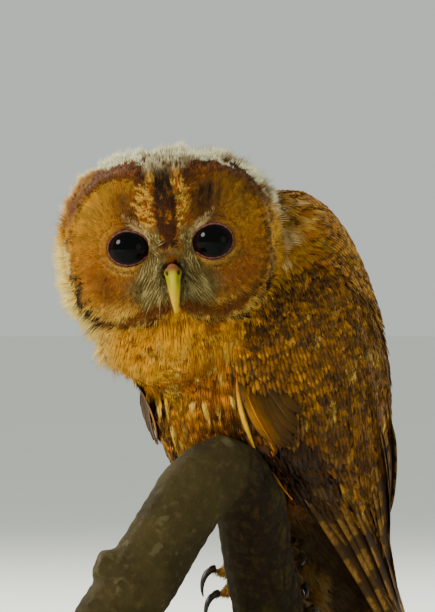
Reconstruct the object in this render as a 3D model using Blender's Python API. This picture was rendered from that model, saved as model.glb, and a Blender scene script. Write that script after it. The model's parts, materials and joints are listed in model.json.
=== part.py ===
"""A young tawny owl as a still, life-size museum model, gripping a cut crook of limb on a stand.

Units are metres, +Z is up and the origin is the middle of the base's underside. The viewer stands
on the -Y side. The bird has a frame of its own, the empty "bird": +X is its left, -Y is forward.
"""

import math

import bmesh
import bpy
from mathutils import Matrix, Vector

# The bird's place and bearing.
BIRD_PLACE = Vector((0.017, 0.010, 0.224))  # the middle of the trunk at its widest
HEADING = math.radians(-48)  # the body is turned this far from facing -Y
HEAD_ROLL = math.radians(-5)
GAP = 0.00035  # between solids that meet
FLESH_DETAIL, FACE_DETAIL = 0.028, 0.045  # the shares of its facets that the body form keeps

# The trunk and the folded wings share one envelope of level sections.
# Each is height, distance back, half width and half depth.
ENVELOPE = (
    (0.094, 0.014, 0.007, 0.007),
    (0.088, 0.013, 0.020, 0.020),
    (0.076, 0.011, 0.032, 0.032),
    (0.060, 0.007, 0.044, 0.044),
    (0.033, 0.002, 0.056, 0.059),
    (0.002, 0.000, 0.061, 0.068),
    (-0.030, 0.004, 0.059, 0.065),
    (-0.062, 0.014, 0.051, 0.055),
    (-0.088, 0.028, 0.040, 0.039),
    (-0.110, 0.042, 0.035, 0.028),
    (-0.140, 0.064, 0.032, 0.020),
    (-0.170, 0.087, 0.027, 0.016),
    (-0.190, 0.102, 0.020, 0.012),
)
TRUNK_TOP = 0.094
TRUNK_FOOT = -0.140
TRUNK_CLOSES = 0.050  # the height over which the trunk's lower end rounds off inside the envelope

# The head, in the empty "head", which faces -Y. Eyes and bill are placed from its middle.
HEAD_PLACE = Vector((0.0, -0.067, 0.062))
HEAD_SIZE = Vector((0.0565, 0.046, 0.0495))  # half width, depth and height
HEAD_SQUARENESS = 2.6
FACE_PLANE = 0.034  # the face flattens past this distance in front of the head's middle
FACE_FLATNESS = 0.50
DISC_CENTRE = Vector((0.0235, 0.0, -0.0015))  # of the dish round the eye on +X
DISC_OUTWARDS, DISC_INWARDS, DISC_UP = 0.0265, 0.0300, 0.0365  # its reach each way
DISC_DEPTH = 0.0070
RIM_HEIGHT, RIM_WIDTH = 0.0024, 0.10  # of the ruff of short feathers round the disc
FACE_BACK = 0.026  # the disc is parted from the head this far in front of the head's middle
EYE_SPACING = 0.0432
EYE_RADIUS = 0.0138
EYE_DEPTH = 0.0236  # the eyeball's middle, in front of the head's middle
THROAT_SIZE = Vector((0.046, 0.040, 0.044))
THROAT_DROP = Vector((0.0, 0.006, -0.033))  # from the head's middle
NAPE_PLACE = Vector((0.0, -0.012, 0.050))
NAPE_SIZE = Vector((0.042, 0.044, 0.046))

# Stations along the bill: distance in front of the head's middle, height, half width, half height.
BILL = (
    (0.0270, -0.0150, 0.0048, 0.0072),
    (0.0395, -0.0135, 0.0047, 0.0070),
    (0.0460, -0.0165, 0.0044, 0.0062),
    (0.0496, -0.0225, 0.0037, 0.0050),
    (0.0504, -0.0290, 0.0023, 0.0032),
    (0.0492, -0.0345, 0.0007, 0.0010),
)

# The folded wing on the envelope. Each is height, front edge and rear edge in degrees from the keel.
WING = (
    (0.056, 68, 84),
    (0.050, 54, 98),
    (0.036, 43, 116),
    (0.004, 37, 134),
    (-0.030, 39, 147),
    (-0.062, 52, 157),
    (-0.088, 68, 164),
    (-0.120, 90, 168),
    (-0.150, 112, 170),
    (-0.172, 132, 171),
    (-0.184, 148, 168),
)
WING_PROUD = 0.0015
WING_DEPTH = 0.0075
WING_EDGE = 0.0016  # thickness at the edges
WING_CLEARANCE = 0.006  # nothing of the body lies this close outside a wing
RIGHT_WING_DROOPS = 17  # the right wing sits this many degrees nearer the keel below the shoulder

TAIL_ROOT = Vector((0.0, 0.029, -0.094))
TAIL_PITCH = math.radians(52)  # below level
TAIL_LENGTH = 0.138
TAIL_ARCH = 0.10  # how far it bows, as a share of its half width
# Along the tail, 0 to 1: half width and half thickness.
TAIL = (
    (0.00, 0.0150, 0.0105),
    (0.22, 0.0200, 0.0075),
    (0.55, 0.0265, 0.0038),
    (0.85, 0.0310, 0.0022),
    (0.96, 0.0290, 0.0018),
    (1.00, 0.0230, 0.0014),
)

# The crook of limb: its centre line in the stand's frame, and its radius.
LIMB = (
    (Vector((-0.0700, -0.0820, 0.0740)), 0.0200),
    (Vector((-0.0640, -0.0795, 0.0920)), 0.0200),
    (Vector((-0.0500, -0.0720, 0.1130)), 0.0198),
    (Vector((-0.0330, -0.0630, 0.1410)), 0.0192),
    (Vector((-0.0200, -0.0570, 0.1610)), 0.0196),
    (Vector((-0.0050, -0.0510, 0.1705)), 0.0196),
    (Vector((0.0040, -0.0440, 0.1630)), 0.0194),
    (Vector((0.0085, -0.0360, 0.1490)), 0.0190),
    (Vector((0.0110, -0.0290, 0.1310)), 0.0188),
    (Vector((0.0160, -0.0190, 0.1040)), 0.0188),
    (Vector((0.0205, -0.0120, 0.0800)), 0.0186),
    (Vector((0.0215, -0.0105, 0.0600)), 0.0184),
)
STUB_ROOT = Vector((-0.0480, -0.0700, 0.1170))
STUB_TIP = Vector((-0.0700, -0.0760, 0.1255))
STUB_RADII = (0.0125, 0.0075)

BASE_RADIUS = 0.115
BASE_THICKNESS = 0.014
ROD_RADIUS = 0.004

# Each foot: its height, where it stands round the limb, and its four toes. Angles are in degrees
# round the limb from the viewer's left towards the far side. A toe is height, first angle, last
# angle and how steeply its claw points down.
FEET = {
    "right": {
        "height": 0.111,
        "stands": 72,
        "toes": (
            (0.0055, 62, 32, 0.0),
            (-0.0062, 60, 30, 0.0),
            (0.0080, 84, 148, 0.5),
            (-0.0070, 84, 144, 0.5),
        ),
    },
    "left": {
        "height": 0.083,
        "stands": 128,
        "toes": (
            (0.0080, 138, 172, 1.1),
            (-0.0060, 138, 176, 1.1),
            (0.0060, 118, 62, 0.3),
            (-0.0090, 118, 58, 0.3),
        ),
    },
}
TOE_RADIUS = 0.0046
CLAW_RADIUS = 0.0021
CLAW_CURL = 0.0072
CLAW_REACH = 0.0062  # how far a free claw arches out from its toe
CLAW_DROP = 0.0092  # and the radius that it falls with
SHANK_RADIUS = 0.0085
THIGH_RADIUS = 0.0190
NAPE_CUT = Vector((0.0, 0.014, -0.026))  # a point of the cut between head and neck
NAPE_SLOPE = Vector((0.36, 0.62, -0.70)).normalized()
HIPS = {"left": Vector((0.026, 0.016, -0.058)), "right": Vector((-0.026, 0.010, -0.058))}

COLOURS = {
    "plumage": (0.42, 0.20, 0.06),
    "face": (0.50, 0.24, 0.07),
    "flight": (0.22, 0.12, 0.05),
    "eye": (0.010, 0.010, 0.012),
    "bill": (0.60, 0.52, 0.10),
    "toe": (0.45, 0.27, 0.10),
    "claw": (0.03, 0.025, 0.02),
    "bark": (0.12, 0.10, 0.06),
    "rod": (0.30, 0.22, 0.10),
    "base": (0.07, 0.035, 0.018),
}
ROUGHNESS = {"eye": 0.05, "bill": 0.35, "claw": 0.3, "rod": 0.35, "base": 0.4}
METAL = ("rod",)


def material(slot):
    found = bpy.data.materials.get(slot)
    if found:
        return found
    made = bpy.data.materials.new(slot)
    made.use_nodes = True
    shader = made.node_tree.nodes["Principled BSDF"]
    shader.inputs["Base Color"].default_value = (*COLOURS[slot], 1)
    shader.inputs["Roughness"].default_value = ROUGHNESS.get(slot, 0.85)
    shader.inputs["Metallic"].default_value = 1.0 if slot in METAL else 0.0
    return made


def link(name, mesh, slot=None, parent=None, place=(0, 0, 0), turn=(0, 0, 0)):
    """A new object of a mesh, shaded smooth, in its parent's frame. With no slot it's a helper."""
    obj = bpy.data.objects.new(name, mesh)
    bpy.context.scene.collection.objects.link(obj)
    obj.parent = parent
    obj.location = place
    obj.rotation_euler = turn
    if mesh is None:
        return obj
    mesh.shade_smooth()
    if slot:
        mesh.materials.append(material(slot))
    else:
        obj.hide_render = True
        obj.display_type = "WIRE"
    return obj


def mesh_of(form, name):
    bmesh.ops.recalc_face_normals(form, faces=form.faces)
    mesh = bpy.data.meshes.new(name)
    form.to_mesh(mesh)
    form.free()
    return mesh


def smooth_table(rows, at):
    """Reads a table of rows, sorted by their first number, along a curve through them."""
    up = rows[0][0] < rows[-1][0]
    rows = rows if up else rows[::-1]
    last = len(rows) - 2
    k = next((i for i in range(last + 1) if at <= rows[i + 1][0]), last)
    span = rows[k + 1][0] - rows[k][0]
    t = min(1.0, max(0.0, (at - rows[k][0]) / span))
    before, after = rows[max(0, k - 1)], rows[min(last + 1, k + 2)]
    found = []
    for j in range(1, len(rows[0])):
        p, q = rows[k][j], rows[k + 1][j]
        in_slope = (q - before[j]) / (rows[k + 1][0] - before[0]) * span
        out_slope = (after[j] - p) / (after[0] - rows[k][0]) * span
        t2, t3 = t * t, t * t * t
        found.append(
            p * (2 * t3 - 3 * t2 + 1)
            + in_slope * (t3 - 2 * t2 + t)
            + q * (3 * t2 - 2 * t3)
            + out_slope * (t3 - t2)
        )
    return found


def loft(name, rings):
    """A closed skin over rings of equally many points, with flat ends."""
    form = bmesh.new()
    rows = [[form.verts.new(point) for point in ring] for ring in rings]
    sides = len(rows[0])
    for lower, upper in zip(rows, rows[1:]):
        for i in range(sides):
            j = (i + 1) % sides
            form.faces.new((lower[i], lower[j], upper[j]))
            form.faces.new((lower[i], upper[j], upper[i]))
    form.faces.new(rows[0])
    form.faces.new(rows[-1])
    return mesh_of(form, name)


def envelope_point(height, angle, grow=0.0):
    """A point of the envelope. The angle runs from the keel towards the bird's left."""
    back, half_width, half_depth = smooth_table(ENVELOPE, height)
    return Vector(
        (
            (half_width + grow) * math.sin(angle),
            back - (half_depth + grow) * math.cos(angle),
            height,
        )
    )


def trunk_form():
    steps, sides = 30, 40
    rings = []
    for k in range(steps + 1):
        height = TRUNK_TOP + (TRUNK_FOOT - TRUNK_TOP) * k / steps
        left = min(1.0, (height - TRUNK_FOOT) / TRUNK_CLOSES)
        open_by = max(0.12, math.sqrt(1 - (1 - left) ** 2))
        middle = Vector((0, smooth_table(ENVELOPE, height)[0], height))
        ring = (envelope_point(height, math.tau * i / sides) for i in range(sides))
        rings.append([middle.lerp(point, open_by) for point in ring])
    return loft("trunk_form", rings)


def ball(name, size, squareness=2.0, shape=None):
    """A superellipsoid. shape(point) may move each point."""
    form = bmesh.new()
    bmesh.ops.create_uvsphere(form, u_segments=64, v_segments=40, radius=1.0)
    for vert in form.verts:
        total = sum(abs(c) ** squareness for c in vert.co) ** (1 / squareness)
        vert.co = Vector([c / total * s for c, s in zip(vert.co, size)])
        if shape:
            vert.co = shape(vert.co)
    return mesh_of(form, name)


def face_shape(point):
    """Sinks a shallow dish round each eye, with a rim, into the front of the head."""
    if -point.y < 0.012:
        return point
    across = abs(point.x) - DISC_CENTRE.x
    reach = DISC_OUTWARDS if across > 0 else DISC_INWARDS
    away = math.hypot(across / reach, (point.z - DISC_CENTRE.z) / DISC_UP)
    dish = DISC_DEPTH * max(0.0, 1 - away * away)
    rim = RIM_HEIGHT * math.exp(-(((away - 1.03) / RIM_WIDTH) ** 2))
    fades = min(1.0, (-point.y - 0.012) / 0.014)
    return Vector((point.x, point.y + (dish - rim) * fades, point.z))


def flat_front(point):
    """Flattens the front of the head."""
    front = -point.y - FACE_PLANE
    return point if front <= 0 else Vector((point.x, -FACE_PLANE - front * FACE_FLATNESS, point.z))


def tube_rings(path, radii, sides):
    """Rings square to a path of points. The side vector is carried along, so nothing twists."""
    rings = []
    side = None
    for k, (point, radius) in enumerate(zip(path, radii)):
        ahead = path[min(k + 1, len(path) - 1)] - path[max(k - 1, 0)]
        ahead.normalize()
        if side is None:
            side = ahead.orthogonal()
        side = (side - ahead * side.dot(ahead)).normalized()
        up = ahead.cross(side)
        turns = (math.tau * i / sides for i in range(sides))
        rings.append([point + (side * math.cos(a) + up * math.sin(a)) * radius for a in turns])
    return rings


def tube(name, path, radii, sides=10):
    return loft(name, tube_rings(path, radii, sides))


def bill_mesh(grow=0.0):
    rings = []
    sides = 14
    for k, (front, height, half_width, half_height) in enumerate(BILL):
        before, after = BILL[max(0, k - 1)], BILL[min(len(BILL) - 1, k + 1)]
        ahead = Vector((0, before[0] - after[0], after[1] - before[1])).normalized()
        up = Vector((1, 0, 0)).cross(ahead)
        middle = Vector((0, -front, height))
        ring = []
        for i in range(sides):
            a = math.tau * i / sides
            across = Vector((1, 0, 0)) * ((half_width + grow) * math.cos(a))
            ring.append(middle + across + up * ((half_height + grow) * math.sin(a)))
        rings.append(ring)
    return loft("bill", rings)


def wing_mesh(side, grow=0.0):
    """A curved plate on the envelope, thickest in the middle. side is 1 on the left, -1 on the right.

    A grown one is the room for the wing, which also clears what lies just outside it."""
    rows, columns = 16, 6
    top, tip = WING[0][0] + grow, WING[-1][0] - grow
    rings = []
    for k in range(rows + 1):
        height = top + (tip - top) * (k / rows) ** 1.5
        front, rear = smooth_table(WING, min(WING[0][0], max(WING[-1][0], height)))
        half_width = smooth_table(ENVELOPE, height)[1]
        spare = math.degrees(grow / max(half_width, 0.01))
        thins = min(1.0, (height - tip + 0.012) / 0.10)
        droop = RIGHT_WING_DROOPS * min(1.0, max(0.0, (top - height) / 0.05)) if side < 0 else 0.0
        droop *= min(1.0, (height - tip) / 0.10)
        inner, outer, clear = [], [], []
        for i in range(columns + 1):
            share = i / columns
            angle = math.radians(front - spare - droop * (1 - share) + (rear - front + 2 * spare) * share)
            bulge = max(0.0, 1 - abs(2 * share - 1) ** 3)
            depth = max(WING_EDGE, WING_EDGE + (WING_DEPTH * thins - WING_EDGE) * bulge)
            proud = WING_PROUD * bulge
            inner.append(envelope_point(height, side * angle, proud - depth - grow))
            outer.append(envelope_point(height, side * angle, proud + grow))
            clear.append(envelope_point(height, side * angle, proud + grow + WING_CLEARANCE))
        outside = [outer[0], *clear, outer[-1]] if grow else outer
        rings.append(outside + inner[::-1])
    return loft("wing", rings)


def tail_mesh(grow=0.0):
    along = Vector((0, math.cos(TAIL_PITCH), -math.sin(TAIL_PITCH)))
    up = Vector((1, 0, 0)).cross(along)
    sides, steps = 14, 9
    rings = []
    for k in range(steps + 1):
        t = k / steps
        half_width, half_thick = smooth_table(TAIL, t)
        end = -grow if k == 0 else grow if k == steps else 0.0
        middle = TAIL_ROOT + along * (TAIL_LENGTH * t + end)
        ring = []
        for i in range(sides):
            a = math.tau * i / sides
            x, y = math.cos(a), math.sin(a)
            rise = (half_thick + grow) * y - TAIL_ARCH * half_width * (1 - x * x)
            ring.append(middle + Vector(((half_width + grow) * x, 0, 0)) + up * rise)
        rings.append(ring)
    return loft("tail", rings)


def curve_through(points, steps):
    """Points spread evenly in parameter on a smooth curve through the given ones."""
    rows = [(k, *point) for k, point in enumerate(points)]
    last = len(points) - 1
    return [Vector(smooth_table(rows, last * k / steps)) for k in range(steps + 1)]


def limb_mesh(grow=0.0):
    steps, sides = 20, 14
    last = len(LIMB) - 1
    path = curve_through([point for point, _ in LIMB], steps)
    widths = [(k, radius) for k, (_, radius) in enumerate(LIMB)]
    radii = [smooth_table(widths, last * k / steps)[0] + grow for k in range(steps + 1)]
    rings = tube_rings(path, radii, sides)
    for ring in (rings[0], rings[-1]):
        level = sum(point.z for point in ring) / sides
        for point in ring:
            point.z = level
    return loft("perch_limb", rings)


def limb_at(height):
    """The middle, direction and radius of the limb's right leg at a height."""
    path = curve_through([point for point, _ in LIMB], 200)
    k = min(range(120, 200), key=lambda i: abs(path[i].z - height))
    widths = [(k, radius) for k, (_, radius) in enumerate(LIMB)]
    radius = smooth_table(widths, (len(LIMB) - 1) * k / 200)[0]
    return path[k], (path[k + 1] - path[k - 1]).normalized(), radius


def around_limb(height, angle, off):
    """A point this far off the bark, at an angle from the viewer's left towards the far side."""
    middle, ahead, radius = limb_at(height)
    left = Vector((-1, 0, 0))
    left = (left - ahead * left.dot(ahead)).normalized()
    far = left.cross(ahead)
    far = far if far.y > 0 else -far
    return middle + (left * math.cos(angle) + far * math.sin(angle)) * (radius + off)


def foot_meshes(name, grow=0.0):
    """A foot's pad and four toes, each one mesh."""
    foot = FEET[name]
    stands = math.radians(foot["stands"])
    off = TOE_RADIUS + GAP
    ends = 0.011 + grow
    pad = [around_limb(foot["height"] + h, stands, off + 0.0012) for h in (-ends, -0.004, 0.004, ends)]
    thick = TOE_RADIUS * 1.2
    meshes = [tube("pad", pad, [r + grow for r in (thick * 0.7, thick, thick, thick * 0.7)], 7)]
    for path in toe_paths(name):
        shape = (0.98, 1.0, 0.92, 1.02, 0.92, 0.96, 0.72)
        meshes.append(tube("toe", path, [TOE_RADIUS * r + grow for r in shape], 6))
    return meshes


def toe_paths(name):
    foot = FEET[name]
    paths = []
    for rise, first, last, _ in foot["toes"]:
        path = []
        for k in range(7):
            angle = math.radians(first + (last - first) * k / 6)
            height = foot["height"] + rise * (0.5 + 0.5 * k / 6)
            path.append(around_limb(height, angle, TOE_RADIUS + GAP + 0.0006 * math.sin(math.pi * k / 6)))
        paths.append(path)
    return paths


def claw_mesh(path, inwards, free, fall):
    """A curved spike on a toe's end. A free claw hangs in the open, any other lies to the bark."""
    straight = (path[-1] - path[-2]).normalized()
    ahead = (straight + Vector((0, 0, -fall))).normalized()
    tilt = straight.angle(ahead)
    start = path[-1] + straight * (TOE_RADIUS * 0.12 + GAP + (CLAW_RADIUS + 0.0003) * math.sin(tilt))
    turn, reach, drop = (2.3, CLAW_REACH, CLAW_DROP) if free else (1.0, CLAW_CURL * 1.3, CLAW_CURL * 1.3)
    if free:
        ahead = Vector((-0.92, -0.30, 0.14)).normalized()
        start = path[-1] + ahead * TOE_RADIUS * 0.82
    bend = Vector((-0.15, -0.05, -1.0)) if free else inwards
    bend = (bend - ahead * bend.dot(ahead)).normalized()
    steps = 8 if free else 5
    spine, radii = [], []
    for k in range(steps + 1):
        t = turn * k / steps
        spine.append(start + ahead * (reach * math.sin(t)) + bend * (drop * (1 - math.cos(t))))
        radii.append(CLAW_RADIUS * (1 - (k / steps) ** 1.5) + 0.0003)
    return tube("claw", spine, radii, 6)


def leg_mesh(name, grow=0.0):
    """The feathered thigh and shank, in the stand's frame, from inside the belly to the foot."""
    foot = FEET[name]
    hip = Matrix.Translation(BIRD_PLACE) @ Matrix.Rotation(HEADING, 4, "Z") @ HIPS[name]
    stands = math.radians(foot["stands"])
    heel = around_limb(foot["height"] + 0.004, stands, 2 * TOE_RADIUS + SHANK_RADIUS * 0.55)
    ankle = heel + Vector((0.001, 0.006, 0.018))
    path = curve_through([hip, hip.lerp(ankle, 0.5) + Vector((0, 0.004, 0)), ankle, heel], 8)
    widths = (
        (0.0, THIGH_RADIUS),
        (0.35, THIGH_RADIUS * 0.82),
        (0.7, SHANK_RADIUS * 1.15),
        (1.0, SHANK_RADIUS * 0.8),
    )
    radii = [smooth_table(widths, k / 8)[0] + grow for k in range(9)]
    return tube("leg", path, radii, 10)


def cut(obj, *cutters):
    for cutter in cutters:
        modifier = obj.modifiers.new("cut_" + cutter.name, "BOOLEAN")
        modifier.operation = "DIFFERENCE"
        modifier.object = cutter


def join(obj, other):
    modifier = obj.modifiers.new("join_" + other.name, "BOOLEAN")
    modifier.operation = "UNION"
    modifier.object = other


def half_space(name, point, normal, parent):
    """A large box on the far side of a plane, along its normal."""
    form = bmesh.new()
    bmesh.ops.create_cube(form, size=0.5, matrix=Matrix.Translation((0, 0, 0.25)))
    box = link(name, mesh_of(form, name), parent=parent, place=point)
    box.rotation_mode = "QUATERNION"
    box.rotation_quaternion = Vector(normal).to_track_quat("Z", "Y")
    return box


def part_by_plane(before, behind, name, point, normal, parent):
    """Parts two nodes of one form at a plane, with a thin gap. The normal points to the second."""
    normal = Vector(normal).normalized()
    cut(before, half_space("past_" + name, point - normal * GAP / 2, normal, parent))
    cut(behind, half_space("short_of_" + name, point + normal * GAP / 2, -normal, parent))


def finished_mesh(obj):
    """The object's mesh in the stand's frame, modifiers applied."""
    bpy.context.view_layer.update()
    graph = bpy.context.evaluated_depsgraph_get()
    mesh = bpy.data.meshes.new_from_object(obj.evaluated_get(graph))
    mesh.transform(obj.matrix_world)
    return mesh


def body_mesh(bird, head):
    """Trunk, nape, throat and head as one smooth closed form, in the stand's frame."""
    forms = (
        link("trunk_form", trunk_form(), parent=bird),
        link("nape_form", ball("nape_form", NAPE_SIZE), parent=bird, place=NAPE_PLACE),
        link("throat_form", ball("throat_form", THROAT_SIZE), parent=head, place=THROAT_DROP),
        link("head_form", ball("head_form", HEAD_SIZE, HEAD_SQUARENESS, flat_front), parent=head),
    )
    whole = bmesh.new()
    for form in forms:
        whole.from_mesh(finished_mesh(form))
        bpy.data.objects.remove(form)
    obj = link("body_form", mesh_of(whole, "body_form"))
    fuse = obj.modifiers.new("fuse", "REMESH")
    fuse.mode = "VOXEL"
    fuse.voxel_size = 0.0022
    soften = obj.modifiers.new("soften", "SMOOTH")
    soften.factor = 0.5
    soften.iterations = 8
    mesh = finished_mesh(obj)
    bpy.data.objects.remove(obj)
    to_head = head.matrix_world.inverted()
    for vert in mesh.vertices:
        vert.co = head.matrix_world @ face_shape(to_head @ vert.co)
    return mesh


def body_node(name, mesh, slot, detail=FLESH_DETAIL):
    """One node of the body form, before it's cut to its own length."""
    obj = link(name, mesh.copy(), slot)
    thin = obj.modifiers.new("thin", "DECIMATE")
    thin.ratio = detail
    return obj


def round_bar(name, radius, low, high, sides, slot, x=0.0, y=0.0):
    """An upright round bar or plate."""
    form = bmesh.new()
    bmesh.ops.create_cone(
        form, cap_ends=True, segments=sides, radius1=radius, radius2=radius, depth=high - low
    )
    return link(name, mesh_of(form, name), slot, place=(x, y, (low + high) / 2))


def build_head_and_trunk(bird, head_frame):
    flesh = body_mesh(bird, head_frame)
    face = body_node("facial_disc", flesh, "face", FACE_DETAIL)
    head = body_node("head", flesh, "plumage")
    neck = body_node("neck", flesh, "plumage")
    trunk = body_node("trunk", flesh, "plumage")
    part_by_plane(face, head, "ears", Vector((0, -FACE_BACK, 0)), (0, 1, 0), head_frame)
    part_by_plane(head, neck, "nape", NAPE_CUT, NAPE_SLOPE, head_frame)
    cut(face, half_space("under_chin", NAPE_CUT - GAP / 2 * NAPE_SLOPE, NAPE_SLOPE, head_frame))
    part_by_plane(neck, trunk, "shoulders", Vector((0, -0.020, 0.030)), (0, 0.66, -0.75), bird)
    for piece in (head, face):
        piece.data.update()
    return face, head, neck, trunk


def build_eyes_and_bill(head_frame, face, head):
    for side, name in ((1, "left"), (-1, "right")):
        place = Vector((side * EYE_SPACING / 2, -EYE_DEPTH, 0))
        for radius, slot in ((EYE_RADIUS, "eye"), (EYE_RADIUS + GAP, None)):
            form = bmesh.new()
            bmesh.ops.create_uvsphere(form, u_segments=18, v_segments=11, radius=radius)
            label = ("eye_" if slot else "socket_") + name
            ball_at = link(label, mesh_of(form, label), slot, head_frame, place, (math.pi / 2, 0, 0))
            if not slot:
                cut(face, ball_at)
                cut(head, ball_at)
    bill_room = link("bill_room", bill_mesh(GAP), None, head_frame)
    link("bill", bill_mesh(), "bill", head_frame)
    cut(face, bill_room)
    cut(head, bill_room)


def build():
    for obj in list(bpy.data.objects):
        bpy.data.objects.remove(obj)
    bird = link("bird", None, place=BIRD_PLACE, turn=(0, 0, HEADING))
    head_frame = link("head_frame", None, parent=bird, place=HEAD_PLACE, turn=(0, HEAD_ROLL, -HEADING))
    bpy.context.view_layer.update()

    face, head, neck, trunk = build_head_and_trunk(bird, head_frame)
    build_eyes_and_bill(head_frame, face, head)

    link("tail", tail_mesh(), "flight", bird)
    tail_room = link("tail_room", tail_mesh(GAP), None, bird)
    limb_room = link("limb_room", limb_mesh(GAP))
    cut(trunk, tail_room, limb_room)

    for side, name in ((1, "left"), (-1, "right")):
        cut(link("wing_" + name, wing_mesh(side), "flight", bird), tail_room)
        wing_room = link("wing_room_" + name, wing_mesh(side, GAP), None, bird)
        leg = link("leg_" + name, leg_mesh(name), "plumage")
        cut(trunk, wing_room, link("leg_room_" + name, leg_mesh(name, GAP)))
        cut(neck, wing_room)
        cut(leg, wing_room, tail_room, limb_room)
        pad, *toes = foot_meshes(name)
        foot = link("foot_" + name, pad, "toe")
        for k, toe in enumerate(toes):
            join(foot, link(f"toe_{name}_{k + 1}", toe))
        for k, room in enumerate(foot_meshes(name, GAP)):
            cut(leg, link(f"foot_room_{name}_{k}", room))
        for k, path in enumerate(toe_paths(name)):
            fall = FEET[name]["toes"][k][3]
            middle = limb_at(path[-1].z)[0]
            free = name == "right" and k < 2
            inwards = (middle - path[-1]).normalized()
            link(f"claw_{name}_{k + 1}", claw_mesh(path, inwards, free, fall), "claw")

    limb = link("perch_limb", limb_mesh(), "bark")
    stub = (STUB_ROOT, STUB_ROOT.lerp(STUB_TIP, 0.6), STUB_TIP)
    join(limb, link("stub", tube("stub", stub, (STUB_RADII[0], STUB_RADII[0] * 0.85, STUB_RADII[1]), 10)))

    plate = round_bar("stand_base", BASE_RADIUS, 0.0, BASE_THICKNESS, 36, "base")
    edge = plate.modifiers.new("edge", "BEVEL")
    edge.width = 0.0015
    edge.segments = 1
    edge.limit_method = "ANGLE"
    for name, (end, _) in (("left", LIMB[0]), ("right", LIMB[-1])):
        low, high = BASE_THICKNESS + GAP, end.z - GAP
        round_bar("stand_rod_" + name, ROD_RADIUS, low, high, 16, "rod", end.x, end.y)


build()
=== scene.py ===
"""The finish of a young tawny owl on a cut limb: skin, feathers, eyes, bill, claws, bark and stand."""
import json
import math

import bmesh
import bpy
import numpy as np
from bpy.props import FloatProperty, FloatVectorProperty, IntProperty, PointerProperty
from mathutils import Matrix, Vector, noise
from mathutils.bvhtree import BVHTree
from mathutils.kdtree import KDTree

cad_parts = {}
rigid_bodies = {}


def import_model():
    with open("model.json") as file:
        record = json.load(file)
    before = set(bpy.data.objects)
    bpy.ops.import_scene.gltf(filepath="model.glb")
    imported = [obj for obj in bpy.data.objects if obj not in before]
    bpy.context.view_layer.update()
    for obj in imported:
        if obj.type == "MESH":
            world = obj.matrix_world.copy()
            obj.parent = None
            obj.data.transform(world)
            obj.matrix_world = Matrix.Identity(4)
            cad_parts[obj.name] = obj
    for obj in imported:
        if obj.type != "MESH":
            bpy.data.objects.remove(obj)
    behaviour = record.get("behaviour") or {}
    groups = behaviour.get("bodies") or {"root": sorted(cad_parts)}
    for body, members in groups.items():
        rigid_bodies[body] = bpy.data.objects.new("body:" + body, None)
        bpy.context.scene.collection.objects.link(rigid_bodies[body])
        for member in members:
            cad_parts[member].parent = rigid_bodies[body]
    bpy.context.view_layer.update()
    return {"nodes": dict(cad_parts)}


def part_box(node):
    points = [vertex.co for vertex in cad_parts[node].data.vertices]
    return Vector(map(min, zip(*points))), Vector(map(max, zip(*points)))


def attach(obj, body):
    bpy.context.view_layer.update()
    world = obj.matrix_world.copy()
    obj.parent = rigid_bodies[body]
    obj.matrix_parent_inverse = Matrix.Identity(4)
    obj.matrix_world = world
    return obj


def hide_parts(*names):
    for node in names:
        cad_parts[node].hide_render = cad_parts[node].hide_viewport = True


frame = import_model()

bl_info = {
    "name": "Young owl finish",
    "version": (1, 0, 0),
    "blender": (4, 5, 0),
    "location": "View3D > Sidebar > Owl",
    "description": "Feathers, eyes, horn, bark and stand of a young tawny owl",
    "category": "Object",
}

MM = 0.001
BODY = "root"
NODES = frame["nodes"]

# The flesh, with how deep the coat lies over each part of it.
COAT_DEPTH = {
    "facial_disc": 1.5 * MM,
    "head": 4.6 * MM,
    "neck": 5.0 * MM,
    "trunk": 4.6 * MM,
    "wing_left": 2.2 * MM,
    "wing_right": 2.2 * MM,
    "tail": 1.4 * MM,
    "leg_left": 2.6 * MM,
    "leg_right": 2.6 * MM,
    "foot_left": 1.0 * MM,
    "foot_right": 1.0 * MM,
}
FLESH = list(COAT_DEPTH)
DISC, HEAD, NECK, TRUNK, WING_L, WING_R, TAIL, LEG_L, LEG_R, FOOT_L, FOOT_R = range(len(FLESH))
SKIN_VOXEL = 1.7 * MM
SKIN_GROWTH = 0.5 * MM  # closes the thin cuts between the parts before they are fused

# The body's own frame: x to its left, y to its back.
BIRD_PLACE = Vector((0.017, 0.010, 0.224))
BIRD_HEADING = math.radians(-48)
BIRD_MATRIX = Matrix.Translation(BIRD_PLACE) @ Matrix.Rotation(BIRD_HEADING, 4, "Z")
BIRD_AXIS = (  # height, how far back the middle lies
    (-0.190, 0.102),
    (-0.140, 0.064),
    (-0.110, 0.042),
    (-0.062, 0.014),
    (0.002, 0.000),
    (0.060, 0.007),
    (0.094, 0.014),
)
WING_EDGES = (  # height, front edge and rear edge in degrees from the keel
    (-0.184, 148, 168),
    (-0.150, 112, 170),
    (-0.120, 90, 168),
    (-0.088, 68, 164),
    (-0.062, 52, 157),
    (-0.030, 39, 147),
    (0.004, 37, 134),
    (0.036, 43, 116),
    (0.056, 68, 84),
)
WING_DROOP = 17  # how many degrees the right wing sits nearer the keel
TAIL_ROOT = Vector((0.0, 0.029, -0.094))
TAIL_ALONG = Vector((0.0, math.cos(math.radians(52)), -math.sin(math.radians(52))))
TAIL_UP = Vector((1, 0, 0)).cross(TAIL_ALONG)
TAIL_LENGTH = 0.138

EYE_RADIUS = 13.8 * MM
EYE_SET = 23.6 * MM  # from the head's middle to an eye's middle
EYE_OUT = 21.6  # from the bill's line to an eye's middle, in mm
DISC_OUT, DISC_DROP = 23.5, 1.5  # a face disc's middle: out from the bill's line and below the eyes, in mm
EYE_STRETCH = 1.12  # how much wider than high an eye's opening is
ROOT_DEPTH = 0.3 * MM  # how deep a feather's root lies in the skin
PATCH_SIZE = 0.003  # how much of the map one tuft takes
CLAWS = sorted(name for name in NODES if name.startswith("claw_"))


def middle(name):
    low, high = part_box(name)
    return (low + high) / 2


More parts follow.
